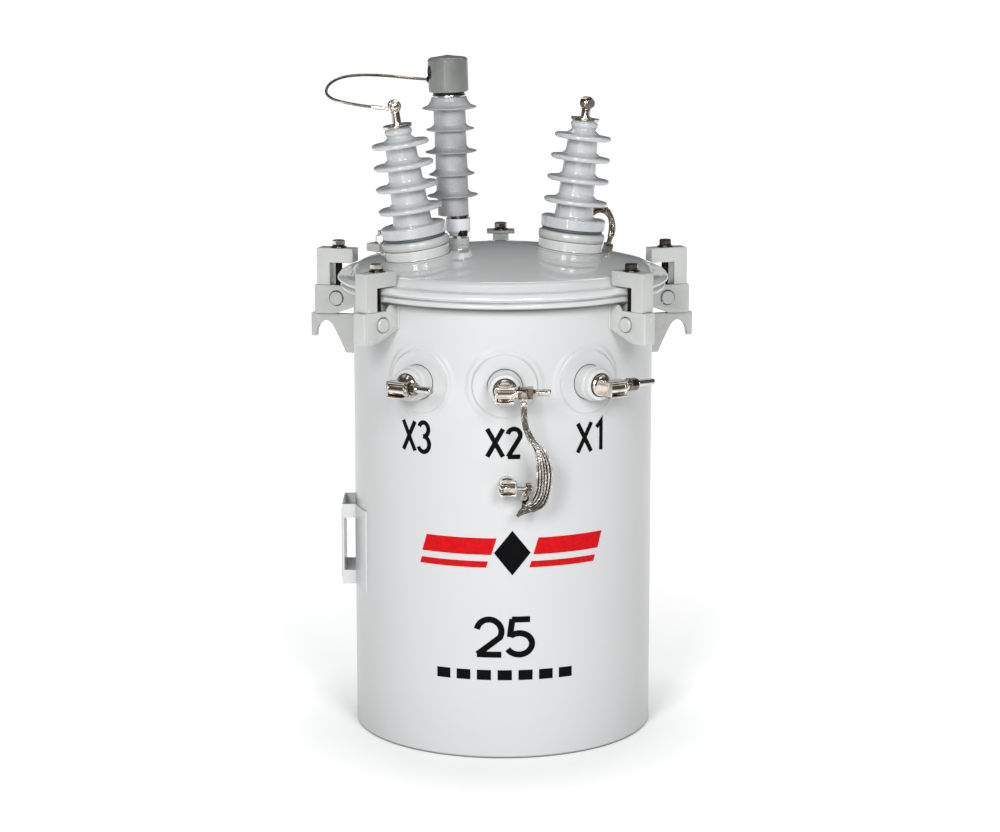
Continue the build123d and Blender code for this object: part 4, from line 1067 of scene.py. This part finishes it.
# ----------------------------------------------------------------- arrester
ab = foot_point(arr_body_foot)
p = [(0, 46.6), (23.9, 46.6, 0.6), (24.3, 47.6, 0.6), (24.4, 70.0, 3.0)]
for s_, r_ in ((79.0, 40.6), (112.5, 36.6), (148.0, 41.0), (183.0, 38.4)):
    p += [(24.8, s_ - 4.6, 1.4), (r_ - 3.0, s_ - 2.6, 2.0), (r_, s_ - 1.2, 0.7), (r_ - 1.2, s_ - 0.1, 0.8), (30.0, s_ + 2.4, 6.0), (25.4, s_ + 6.2, 4.0)]
p += [(25.2, 211.0, 2.0), (41.0, 214.2, 2.0), (43.0, 215.8, 0.7), (41.8, 216.9, 0.8), (34.0, 219.6, 8.0), (29.2, 226.0, 6.0), (27.4, 232.4, 1.0), (0, 232.4)]
housing = lathe("arrester_sheds", ab, arr_body_dir, soften(p, 5), M_SHED, 144, 40)
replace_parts(housing, "arrester_housing")
ring_hi = lathe("cap_ring_bright", ab, arr_body_dir, soften([
    (0, 232.5), (25.6, 232.5), (26.0, 232.9, 0.4), (26.0, 235.9, 0.4), (0, 236.2)], 3), M_ALU, 96, 40)
# black ring under the guard cap: painted shade for the gap beneath the cap's rim
cap_gap_shade = lathe("cap_gap_painted_shade", ab, arr_body_dir, soften([
    (0, 236.3), (24.6, 236.3), (24.6, 240.4), (0, 240.4)], 3), M_BLACK, 96, 40)
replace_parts(merge_objects("arrester_cap_rings", [ring_hi, cap_gap_shade]), "arrester_cap_ring")
gcap = lathe("guard_cap_shell", ab, arr_body_dir, soften([
    (0, 240.6), (29.4, 240.6), (30.4, 240.6, 0.5), (30.9, 242.0, 0.8), (31.3, 244.5, 0.6), (31.4, 289.6, 1.5), (29.6, 292.8, 2.2), (26.5, 294.0, 3.0),
    (10.0, 296.2, 6.0), (0, 297.9)], 7),
    M_GUARD, 128, 38)
# moulding seams down the cap's side
seams = [gcap]
gu, gw, gd = axis_frame(arr_body_dir)
for az_ in (-20.0, 24.0):
    dirv = radial(az_)
    dirv = (dirv - gd * dirv.dot(gd)).normalized()
    line = [tuple(ab + dirv * 31.15 + gd * (244.0 + 46.0 * k / 10)) for k in range(11)]
    vv, ff = tube_data(line, 0.42, 8)
    seams.append(finish_mesh("cap_seam_%d" % int(az_ + 90), vv, ff, M_GUARD, 60))
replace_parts(merge_objects("guard_cap_moulding", seams), "arrester_guard_cap")
# oval grommet that lets the lead out of the cap's side
gdir = radial(-66.0)
gdir = (gdir - gd * gdir.dot(gd)).normalized()
gside = gd.cross(gdir)
gc = ab + gdir * 30.2 + gd * 272.0
gv, gf = [], []
for (q, out) in ((1.0, 0.0), (1.0, 1.4), (0.86, 2.0), (0.62, 1.7), (0.50, 0.9)):
    for k in range(36):
        a = 2 * math.pi * k / 36
        x_, y_ = 5.6 * q * math.cos(a), 10.5 * q * math.sin(a)
        sag = 31.4 - math.sqrt(31.4**2 - x_ * x_)
        gv.append(tuple(gc + gside * x_ + gd * y_ + gdir * (out + 0.9 - sag)))
for i in range(4):
    for k in range(36):
        k2 = (k + 1) % 36
        gf.append((i * 36 + k, i * 36 + k2, (i + 1) * 36 + k2, (i + 1) * 36 + k))
gf.append(tuple(4 * 36 + k for k in range(36)))
gf.append(tuple(k for k in range(35, -1, -1)))
oval = finish_mesh("cap_grommet_oval", gv, gf, M_BLACK, 50)
lead_dir = (Vector(lead_route[1]) - Vector(lead_route[0])).normalized()
boot = lathe("lead_boot", Vector(lead_route[0]) - lead_dir * 9.0, lead_dir, soften([
    (0, 0.5), (5.2, 0.5), (5.2, 6.5, 1.5), (3.4, 8.9, 1.0), (0, 8.9)], 4), M_BLACK, 40, 40)
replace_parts(merge_objects("lead_grommet_set", [oval, boot]), "lead_grommet")

# ------------------------------------------------------- low-voltage bushings
lvp = []
for key, az in lv_az.items():
    d = radial(az)
    o = Vector((0, 0, lv_z))
    lvp.append(lathe("lvp_" + key, o, d, soften([
        (0, 236.0), (26.0, 236.0), (26.4, 239.5, 1.0), (26.5, 256.5, 2.5), (25.6, 259.4, 2.0), (24.6, 260.2, 1.0), (24.2, 267.0, 1.6),
        (22.8, 270.4, 1.6), (18.6, 270.9, 0.8), (17.9, 269.6, 0.6), (17.9, 266.0), (0, 266.0)], 5), M_GLAZE_LV, 112, 40))
    lvp.append(lathe("lvseal_" + key, o, d, soften([
        (0, 236.0), (27.3, 236.0), (27.3, 238.9, 0.5), (0, 239.0)], 3), M_GASKET, 112, 40))
    lvp.append(lathe("lvring_" + key, o, d, soften([
        (0, 266.1), (17.8, 266.1), (17.8, 269.0, 0.8), (0, 269.0)], 3), M_BLACK, 96, 40))
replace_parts(merge_objects("lv_porcelain_set", lvp), "lv_porcelains")


def box_data(to3, a0, a1, b0, b1, c0, c1):
    vv = [tuple(to3(a, b, c)) for c in (c0, c1) for (a, b) in ((a0, b0), (a1, b0), (a1, b1), (a0, b1))]
    ff = [(3, 2, 1, 0), (4, 5, 6, 7), (0, 1, 5, 4), (1, 2, 6, 5), (2, 3, 7, 6), (3, 0, 4, 7)]
    return vv, ff


def hex_nut(name, o, d, s0, s1, rc, hole, rot, mat, crown=0.7):
    """hexagon nut with chamfered corners and a round hole"""
    u, w, d = axis_frame(d)
    vv, ff = [], []
    def ring6(r, s):
        for k in range(6):
            a = math.radians(60 * k + rot)
            vv.append(tuple(o + d * s + (u * math.cos(a) + w * math.sin(a)) * r))
    def ring24(r, s):
        for k in range(24):
            a = math.radians(15 * k + rot)
            vv.append(tuple(o + d * s + (u * math.cos(a) + w * math.sin(a)) * r))
    ring6(rc, s0 + crown)
    ring6(rc, s1 - crown)
    ring24(rc * 0.86, s0)
    ring24(rc * 0.86, s1)
    ring24(hole + 0.6, s0)
    ring24(hole + 0.6, s1)
    for k in range(6):
        k2 = (k + 1) % 6
        ff.append((k, k2, 6 + k2, 6 + k))
        ff.append(tuple([k2, k] + [12 + (4 * k + q) % 24 for q in range(5)]))
        ff.append(tuple([6 + k, 6 + k2] + [36 + (4 * k + q) % 24 for q in range(4, -1, -1)]))
    for k in range(24):
        k2 = (k + 1) % 24
        ff.append((12 + k2, 12 + k, 60 + k, 60 + k2))
        ff.append((36 + k, 36 + k2, 84 + k2, 84 + k))
        ff.append((60 + k2, 60 + k, 84 + k, 84 + k2))
    return finish_mesh(name, vv, ff, mat, 28)


LV_BLOCK = {"x3": (-17.0, 13.9, 9.5, 26.0), "x2": (-15.4, 13.9, 9.5, 26.0), "x1": (-2.0, 29.5, 13.5, 31.5)}
cons, studs = [], []
for key, az in lv_az.items():
    d = radial(az)
    t = Vector((0, 0, 1)).cross(d)
    b0, b1, nut_h, rod_l = LV_BLOCK[key]
    o = Vector((0, 0, lv_z))

    def at(a, b, c, d=d, t=t, o=o):
        return o + t * a + Vector((0, 0, b)) + d * c
    # round stem with a shoulder
    cons.append(lathe("stem_" + key, o, d, soften([
        (0, 268.9), (16.2, 268.9), (16.6, 270.5, 0.6), (16.6, 273.0, 1.6), (14.6, 275.0, 1.6), (13.0, 277.4), (0, 277.4)], 4), M_BRONZE, 72, 40))
    # open box: back, two lips, left cheek
    z0, z1 = -15.8, 8.3
    for nm, (a0, a1, c0, c1, e0, e1) in (
            ("back", (b0, b1, z0, z1, 277.1, 281.0)), ("top", (b0, b1, z1 - 2.6, z1, 280.5, 298.6)),
            ("under", (b0, b1 - 1.0, z0, z0 + 2.6, 280.5, 299.6)), ("cheek", (b0, b0 + 2.8, z0, z1, 280.5, 299.0))):
        vv, ff = box_data(at, a0, a1, c0, c1, e0, e1)
        cons.append(bevelled(nm + "_" + key, vv, ff, M_BRONZE, 0.7, 3, 30))
    # barrel that holds the conductor, with a band at its mouth
    oc = at(0, -3.6, 289.4)
    cons.append(lathe("barrel_" + key, oc, t, soften([
        (0, b0 + 2.6), (8.4, b0 + 2.6), (8.9, b0 + 4.0, 0.8), (8.9, b1 - 4.0), (9.3, b1 - 3.6, 0.3), (9.3, b1 - 0.2, 0.6), (8.2, b1, 0.4), (0, b1)], 4), M_BRONZE, 64, 35))
    # collar, dark washer, nut and rod
    oo = at(0, 0, 289.0)
    cons.append(lathe("collar_" + key, oo, t, soften([
        (0, b1 - 0.5), (8.2, b1 - 0.5), (9.0, b1 + 0.8, 0.6), (9.0, b1 + 5.0, 0.5), (7.6, b1 + 5.5, 0.4), (7.6, b1 + 8.9), (0, b1 + 8.9)], 4), M_BRONZE, 56, 35))
    cons.append(lathe("washer_" + key, oo, t, soften([
        (7.0, b1 + 5.6), (10.0, b1 + 5.6, 0.3), (10.0, b1 + 8.6, 0.5), (7.0, b1 + 8.6), (7.0, b1 + 5.6)], 3), M_DARKSTEEL, 56, 35))
    # little set screw under the box
    cons.append(lathe("screw_" + key, at(b0 + 4.0, z0, 291.0), (0, 0, -1), soften([
        (0, -2.0), (2.6, -2.0), (2.6, 1.6, 0.4), (1.2, 2.0), (0, 2.0)], 3), M_DARKSTEEL, 24, 35))
    s0 = b1 + 9.0 + (9.2 if key == "x2" else 0.0)
    studs.append(hex_nut("nut_" + key, oo, t, s0 + 0.1, s0 + nut_h, 9.7, 5.6, {"x3": 22, "x2": 16, "x1": 5}[key],
                         M_DARKBRONZE if key != "x1" else M_DARKSTEEL))
    rp = [(0, b1 + 8.0), (5.3, b1 + 8.0)]
    q = b1 + 9.5
    end = s0 + nut_h + rod_l
    while q < end - 2.0:
        thread = q < s0 + nut_h + 3.0
        rp += [(5.35, q), (5.7 if thread else 5.5, q + 0.8)]
        q += 1.6 if thread else 6.0
    rp += [(5.5, end - 1.2), (4.6, end - 0.1), (0, end - 0.1)]
    vv, ff = lathe_data(oo, t, rp, 36)
    studs.append(finish_mesh("rod_" + key, vv, ff, M_STEEL, 40))
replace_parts(merge_objects("lv_connector_set", cons), "lv_connectors")
d2 = radial(lv_az["x2"])
t2 = Vector((0, 0, 1)).cross(d2)
lo_ = Vector((0, 0, lv_z)) + d2 * 289.0
lug = [lathe("lug_ring", lo_, t2, soften([
    (5.9, 23.1), (8.6, 23.1, 0.8), (9.0, 24.4, 0.6), (9.0, 30.6, 0.6), (8.6, 31.8, 0.8), (5.9, 31.8), (5.9, 23.1)], 4), M_DARKBRONZE, 56, 35)]
sec = []
for (zz, hw, hd2) in ((-6.5, 4.2, 3.0), (-9.0, 4.6, 3.4), (-12.0, 5.0, 3.4), (-13.0, 4.6, 2.7), (-15.5, 4.6, 2.7), (-16.5, 5.0, 3.4), (-20.0, 5.0, 3.4),
                      (-21.0, 4.5, 2.6), (-24.0, 4.6, 2.8), (-25.0, 4.2, 2.2)):
    sec.append([tuple(lo_ + t2 * (27.4 + hw * math.cos(2 * math.pi * k / 28)) + d2 * (hd2 * math.sin(2 * math.pi * k / 28)) + Vector((0, 0, zz)))
                for k in range(28)])
vv = [q for ring in sec for q in ring]
ff = []
for i in range(len(sec) - 1):
    for k in range(28):
        k2 = (k + 1) % 28
        ff.append((i * 28 + k, (i + 1) * 28 + k, (i + 1) * 28 + k2, i * 28 + k2))
ff.append(tuple(range(28)))
ff.append(tuple((len(sec) - 1) * 28 + k for k in range(27, -1, -1)))
lug.append(finish_mesh("lug_crimp", vv, ff, M_BRONZE, 40))
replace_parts(merge_objects("strap_lug_upper_set", lug), "strap_lug_upper")
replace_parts(merge_objects("lv_stud_set", studs), "lv_studs")

# ground connector: pad, clamp body with a screw, nut on its own rod
gd_ = radial(1.5)
gt_ = Vector((0, 0, 1)).cross(gd_)
go_ = Vector((0, 0, 431.5))


def gat(a, b, c):
    return go_ + gt_ * a + Vector((0, 0, b)) + gd_ * c


gnd = [lathe("gstem", go_, gd_, soften([
    (0, 240.6), (12.4, 240.6), (13.2, 242.4, 1.0), (13.2, 246.0, 1.6), (9.6, 248.6, 1.6), (9.4, 255.4), (0, 255.4)], 4), M_BRONZE, 56, 40)]
for nm, (a0, a1, c0, c1, e0, e1) in (
        ("back", (-11.8, 13.8, -11.2, 11.2, 255.1, 258.6)), ("top", (-11.8, 13.8, 8.8, 11.2, 258.0, 269.4)),
        ("under", (-11.8, 13.8, -11.2, -8.6, 258.0, 270.4)), ("side", (11.2, 13.8, -11.2, 11.2, 258.0, 270.4))):
    vv, ff = box_data(gat, a0, a1, c0, c1, e0, e1)
    gnd.append(bevelled("g" + nm, vv, ff, M_BRONZE, 0.7, 3, 30))
gnd.append(lathe("gbarrel", gat(0, -0.4, 262.6), gt_, soften([
    (0, -11.4), (6.6, -11.4), (7.9, -10.4, 0.8), (7.9, -1.5, 0.4), (7.3, -1.2, 0.3), (7.3, 2.4, 0.3), (8.1, 2.8, 0.4), (8.1, 11.0), (0, 11.0)], 4), M_BRONZE, 56, 35))
gnd.append(lathe("gscrew", gat(-9.0, -1.5, 262.0), gd_, soften([
    (0, 0), (3.4, 0), (3.4, 8.6, 0.8), (1.6, 9.4, 0.5), (0, 8.2)], 4), M_DARKSTEEL, 32, 35))
gnd.append(lathe("gprong", gat(-6.0, -11.0, 263.0), (-0.25, 0, -1), soften([
    (0, -1.0), (2.6, -1.0), (2.2, 3.0, 1.0), (1.0, 4.6, 0.8), (0, 4.6)], 4), M_BRONZE, 24, 40))
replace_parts(merge_objects("ground_connector_set", gnd), "ground_connector")
goo = gat(0, 0, 263.0)
vv, ff = lathe_data(goo, gt_, soften([(0, 14.0), (3.9, 14.0), (3.9, 37.0, 0.6), (3.2, 37.9), (0, 37.9)], 3), 32)
gst = [finish_mesh("grod", vv, ff, M_STEEL, 40), hex_nut("gnut", goo, gt_, 29.2, 35.8, 8.9, 4.0, 12, M_DARKBRONZE),
       lathe("gwasher", goo, gt_, soften([(3.9, 27.2), (8.2, 27.2, 0.3), (8.2, 29.0, 0.4), (3.9, 29.0), (3.9, 27.2)], 3), M_DARKSTEEL, 40, 35)]
# ring lug on the strap's lower end, hanging behind the bundles
gst.append(lathe("glug_ring", gat(25.5, -15.0, 262.0), gd_, soften([
    (3.6, 0), (6.9, 0, 0.5), (6.9, 2.4, 0.6), (3.6, 2.4), (3.6, 0)], 3), M_DARKBRONZE, 48, 35))
# its tongue bends out behind the strap and runs into the bundles' end
run = [(24.75, -18.5, 263.4, 3.25), (24.7, -25.0, 263.4, 3.25), (24.2, -29.0, 266.4, 3.2), (22.6, -32.4, 270.6, 3.1),
       (19.6, -35.4, 273.2, 2.8), (16.2, -38.7, 273.4, 2.2)]
for _ in range(2):
    run = [run[0]] + [tuple(a * f + b * (1 - f) for a, b in zip(q0, q1)) for q0, q1 in zip(run, run[1:]) for f in (0.75, 0.25)] + [run[-1]]
vv = []
for i, q in enumerate(run):
    along = (Vector(run[min(i + 1, len(run) - 1)][:3]) - Vector(run[max(i - 1, 0)][:3])).normalized()
    across = (Vector((1, 0, 0)) - along * along.x).normalized()
    out = along.cross(across)
    for e, g in ((-1, -1), (1, -1), (1, 1), (-1, 1)):
        vv.append(tuple(gat(*(Vector(q[:3]) + across * (q[3] * e) + out * (1.0 * g)))))
ff = [(i * 4 + j, i * 4 + (j + 1) % 4, i * 4 + 4 + (j + 1) % 4, i * 4 + 4 + j) for i in range(len(run) - 1) for j in range(4)]
ff += [(3, 2, 1, 0), tuple(len(run) * 4 - 4 + j for j in range(4))]
gst.append(finish_mesh("glug_tongue", vv, ff, M_DARKBRONZE, 40))
vv, ff = box_data(gat, 22.5, 28.5, -13.5, -2.0, 261.0, 263.4)
gst.append(bevelled("glug_link", vv, ff, M_DARKBRONZE, 0.6, 2, 30))
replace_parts(merge_objects("ground_stud_set", gst), "ground_stud")

# eye terminals of the high-voltage bushings, each with a bolt through the eye
for side, (foot, direction) in hv.items():
    hd = Vector(direction).normalized()
    fo = foot_point(foot)
    c = fo + hd * (234.0 if side == "left" else 228.5)
    nrm = Vector((0.15, -1, 0)).normalized() if side == "left" else Vector((0.85, -1, 0)).normalized()
    mat = M_BRONZE if side == "left" else M_DARKBRONZE
    term = [lathe("eye_" + side, c, nrm, soften([
        (5.6, -6.4), (9.2, -6.4, 1.2), (10.4, -4.6, 1.6), (10.4, 4.6, 1.6), (9.2, 6.4, 1.2), (6.4, 6.4, 0.8), (5.6, 5.2, 0.6), (5.6, -6.4)], 4), mat, 72, 45)]
    top = 10.2 if side == "left" else 4.4
    term.append(lathe("neck_" + side, fo + hd * 206.0, hd, soften([
        (0, 1.0), (6.9, 1.0), (6.9, top + 9.0, 2.0), (5.0, top + 12.0, 2.0), (0, top + 12.5)], 4), mat, 56, 40))
    # the bolt's round head stands in front of the eye; on the right a hexagon sits in front and a round end behind
    term.append(lathe("eyebolt_" + side, c, nrm, soften([
        (0, -9.0), (5.4, -9.0), (5.4, 6.0), (6.3, 6.2, 0.4), (6.3, 7.4, 1.2), (4.8, 9.0, 1.2), (2.2, 9.3), (1.9, 8.7), (0, 8.7)], 4), M_BRONZE if side == "left" else M_STEEL, 56, 35))
    if side == "right":
        u2 = (nrm.cross(Vector((0, 0, 1)))).normalized()
        term.append(hex_nut("eyehex_" + side, c, nrm, 7.0, 11.5, 7.4, 0.4, 10, M_STEEL))
        term.append(lathe("eyeback_" + side, c, -nrm, soften([(0, 6.0), (6.6, 6.0), (6.6, 9.5, 1.4), (0, 10.5)], 4), mat, 40, 35))
    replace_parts(merge_objects("hv_eye_terminal_" + side, term), "hv_terminal_" + side)

# ------------------------------------------------- finishes of the CAD nodes
def dress(node, mat):
    o = NODES[node]
    o.data.materials.clear()
    o.data.materials.append(mat)


FINISH = {
    "tank_bottom": M_TANK, "arrester_boss": M_ENAMEL, "arrester_ring": M_ALU, "arrester_hanger": M_HANGER,
    "arrester_disconnector": M_BLACK, "arrester_end_plate": M_DARKSTEEL, "arrester_cap_ring": M_ALU, "lead_grommet": M_BLACK,
    "lead_lug": M_BRONZE, "bonding_lugs": M_BRONZE, "strap_lug_upper": M_BRONZE, "lv_connectors": M_BRONZE, "lv_studs": M_STEEL,
    "ground_boss": M_ENAMEL, "ground_connector": M_BRONZE, "ground_stud": M_STEEL, "terminal_bracket": M_ENAMEL,
    "terminal_stud": M_BRONZE, "hanger_bracket_upper": M_ENAMEL, "hanger_bracket_lower": M_ENAMEL, "nameplate_bracket": M_TANK,
    "nameplate": M_TANK, "hv_terminal_left": M_BRONZE, "hv_terminal_right": M_DARKBRONZE,
}
shown = [n for n, o in NODES.items() if not o.hide_render]
for n in shown:
    dress(n, FINISH.get(n, M_ENAMEL))

# -------------------------------------------------------------------- marks
def stroke_data(lines, w, az0, z0, r=235.16):
    """flat strokes laid on the tank: lines of (x, z) in millimetres from the mark's centre"""
    verts, faces = [], []
    a0 = math.radians(az0)
    for line in lines:
        pts = [Vector(q) for q in line]
        fine = []
        for a, b in zip(pts[:-1], pts[1:]):
            n = max(1, int((b - a).length / 2.0))
            for k in range(n):
                fine.append(a + (b - a) * k / n)
        fine.append(pts[-1])
        left, right = [], []
        for i, q in enumerate(fine):
            if i == 0:
                t = fine[1] - fine[0]
            elif i == len(fine) - 1:
                t = fine[-1] - fine[-2]
            else:
                t0 = (fine[i] - fine[i - 1]).normalized()
                t1 = (fine[i + 1] - fine[i]).normalized()
                t = t0 + t1
            t.normalize()
            nrm = Vector((-t.y, t.x))
            k = 1.0
            if 0 < i < len(fine) - 1:
                k = 1.0 / max(0.4, nrm.dot(Vector((-t1.y, t1.x))))
            left.append(q + nrm * (w / 2 * k))
            right.append(q - nrm * (w / 2 * k))
        base = len(verts)
        for q in left + right:
            a = a0 + q.x / r
            verts.append((r * math.sin(a), -r * math.cos(a), z0 + q.y))
        n = len(fine)
        for i in range(n - 1):
            faces.append((base + i, base + i + 1, base + n + i + 1, base + n + i))
    return verts, faces


def arc(cx, cy, rx, ry, a0, a1, n=18):
    return [(cx + rx * math.cos(math.radians(a0 + (a1 - a0) * k / n)), cy + ry * math.sin(math.radians(a0 + (a1 - a0) * k / n)))
            for k in range(n + 1)]


def glyph(ch, w, h):
    """simple upright signs in a box w by h, from its lower left corner"""
    if ch == "X":
        return [[(0, 0), (w, h)], [(0, h), (w, 0)]]
    if ch == "1":
        return [[(0, h * 0.80), (w * 0.62, h), (w * 0.62, 0)]]
    if ch == "2":
        return [arc(w * 0.5, h - w * 0.5, w * 0.5, w * 0.5, 170, -28, 20) + [(w * 0.02, 0.0)], [(0, 0), (w, 0)]]
    if ch == "3":
        return [arc(w * 0.47, h * 0.765, w * 0.46, h * 0.235, 158, -96, 18), arc(w * 0.46, h * 0.265, w * 0.54, h * 0.265, 96, -158, 20)]
    if ch == "5":
        return [[(w * 0.92, h), (w * 0.17, h)], [(w * 0.19, h + 1.0), (w * 0.09, h * 0.50)],
                [(w * 0.09, h * 0.50)] + arc(w * 0.47, h * 0.305, w * 0.53, h * 0.305, 134, -152, 24)]
    return []


def word(text, width, height, gap, glyph_w, stroke):
    out = []
    x = -width / 2
    for ch in text:
        gw = glyph_w[ch]
        for line in glyph(ch, gw, height - stroke):
            out.append([(x + px + stroke / 2 * 0, py - height / 2 + stroke / 2) for px, py in line])
        x += gw + gap
    return out


def mark(name, lines, stroke, az0, z0, mat):
    vv, ff = stroke_data(lines, stroke, az0, z0)
    return finish_mesh(name, vv, ff, mat, 80, normals=False)


mark("mark_x3", word("X3", 49.0, 52.5, 7.0, {"X": 22.5, "3": 18.5}, 7.0), 7.0, -34.1, 497.8, M_INK)
mark("mark_x2", word("X2", 52.0, 50.0, 7.0, {"X": 24.0, "2": 19.0}, 7.2), 7.2, 0.55, 495.6, M_INK)
mark("mark_x1", word("X1", 50.0, 52.0, 10.0, {"X": 24.5, "1": 14.5}, 7.0), 7.0, 34.9, 497.0, M_INK)
mark("mark_rating", word("25", 86.0, 65.0, 9.5, {"2": 38.0, "5": 37.5}, 9.6), 9.6, 0.7, 193.2, M_INK)


def patch(name, outline, az0, z0, mat, r=235.15, cell=3.0):
    """a flat painted shape on the tank, cut into narrow upright slices so that it follows the wall"""
    me = bpy.data.meshes.new(name)
    bm = bmesh.new()
    vs = [bm.verts.new((x * MM, 0, z * MM)) for x, z in outline]
    bm.faces.new(vs)
    xs = [x for x, z in outline]
    x = min(xs) + cell
    while x < max(xs):
        bmesh.ops.bisect_plane(bm, geom=bm.verts[:] + bm.edges[:] + bm.faces[:], plane_co=(x * MM, 0, 0), plane_no=(1, 0, 0))
        x += cell
    for vtx in bm.verts:
        a = math.radians(az0) + vtx.co.x / (r * MM)
        z = vtx.co.z
        vtx.co = (r * MM * math.sin(a), -r * MM * math.cos(a), z0 * MM + z)
    bm.to_mesh(me)
    bm.free()
    me.materials.append(mat)
    ob = bpy.data.objects.new(name, me)
    bpy.context.scene.collection.objects.link(ob)
    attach(ob, "root")
    return ob


# plain stripes and lozenges where the front was decorated
def bar(x0, x1, z0, z1, slope=0.0):
    return [(x0, z0), (x1, z0), (x1 + slope, z1), (x0 + slope, z1)]


patch("stripe_upper_left", bar(-146, -34, 4, 30, 8), 4.0, 318, M_RED)
patch("stripe_lower_left", bar(-150, -42, -16, -6, 3), 4.0, 318, M_RED)
patch("stripe_upper_right", bar(30, 140, 4, 30, 8), 4.0, 318, M_RED)
patch("stripe_lower_right", bar(24, 132, -16, -6, 3), 4.0, 318, M_RED)
patch("lozenge_mid", [(-30, 7), (-2, -28), (26, 7), (-2, 42)], 4.0, 318, M_INK)
for k in range(7):
    patch("dash_%d" % (k + 1), bar(-107 + k * 32, -107 + k * 32 + 22, -8.0, 8.0, 0), 0.7, 133, M_INK)

# -------------------------------------------------------------- floor, light
def floor_material():
    m, nt, b = new_material("floor_white")
    v = coords(nt)
    n = noise(nt, v, 3.0, 3.0)
    col = ramp(nt, n, [(0.3, (0.86, 0.86, 0.86)), (0.7, (0.88, 0.88, 0.88))])
    nt.links.new(col, b.inputs["Base Color"])
    b.inputs["Roughness"].default_value = 0.95
    b.inputs["Specular IOR Level"].default_value = 0.0
    b.inputs["Emission Color"].default_value = (1, 1, 1, 1)
    # the paper sweep glows, more strongly away from the object: the dimmer glow round the base and in front of it is a
    # painted contact shadow
    shift = nt.nodes.new("ShaderNodeVectorMath")
    shift.operation = "SUBTRACT"
    nt.links.new(v, shift.inputs[0])
    shift.inputs[1].default_value = (0.0, -0.12, 0.0)
    far = nt.nodes.new("ShaderNodeVectorMath")
    far.operation = "LENGTH"
    nt.links.new(shift.outputs[0], far.inputs[0])
    near = remap(nt, far.outputs["Value"], 0.135, 0.48, 0.18, 0.44)
    more = remap(nt, far.outputs["Value"], 0.0, 0.47, 0.42, 2.0)
    both = nt.nodes.new("ShaderNodeMath")
    both.operation = "ADD"
    nt.links.new(near, both.inputs[0])
    nt.links.new(more, both.inputs[1])
    xyz = nt.nodes.new("ShaderNodeSeparateXYZ")
    nt.links.new(v, xyz.inputs[0])
    front = nt.nodes.new("ShaderNodeMath")
    front.operation = "MULTIPLY"
    nt.links.new(both.outputs[0], front.inputs[0])
    nt.links.new(remap(nt, xyz.outputs["Y"], 0.10, 1.0, -1.1, -0.45), front.inputs[1])
    nt.links.new(front.outputs[0], b.inputs["Emission Strength"])
    return m


me = bpy.data.meshes.new("floor")
me.from_pydata([(-60, -20, 0), (60, -20, 0), (60, 100, 0), (-60, 100, 0)], [], [(0, 1, 2, 3)])
me.materials.append(floor_material())
floor = bpy.data.objects.new("floor", me)
bpy.context.scene.collection.objects.link(floor)

world = bpy.data.worlds.new("studio")
world.use_nodes = True
bg = world.node_tree.nodes["Background"]
bg.inputs["Color"].default_value = (0.94, 0.965, 1.0, 1)
bg.inputs["Strength"].default_value = 0.11
bpy.context.scene.world = world


def area(name, loc, target, size, power, shape="RECTANGLE", color=(1, 1, 1)):
    ld = bpy.data.lights.new(name, "AREA")
    ld.shape = shape
    ld.size, ld.size_y = size
    ld.energy = power
    ld.color = color
    ob = bpy.data.objects.new(name, ld)
    ob.location = loc
    d = Vector(target) - Vector(loc)
    ob.rotation_euler = d.to_track_quat("-Z", "Y").to_euler()
    bpy.context.scene.collection.objects.link(ob)
    return ob


area("key_left", (-1.30, -4.3, 2.6), (0, 0, 0.3), (1.3, 1.7), 126)
area("key_right", (1.40, -4.2, 2.6), (0, 0, 0.3), (1.3, 1.7), 113)
area("front_panel", (-0.15, -5.4, 1.1), (0, 0, 0.6), (2.4, 2.0), 16)
area("strip_left", (-1.05, -3.0, 1.3), (0, 0, 0.55), (0.10, 2.0), 8)
area("top", (0.1, -0.25, 2.7), (0, 0, 0.6), (2.0, 0.6), 5)
area("top_back", (0.0, 1.25, 2.35), (0, -0.1, 0.74), (2.2, 0.35), 6)

sc = bpy.context.scene
sc.view_settings.view_transform = "Standard"
sc.view_settings.look = "None"
sc.view_settings.exposure = 0.0
sc.view_settings.gamma = 1.0
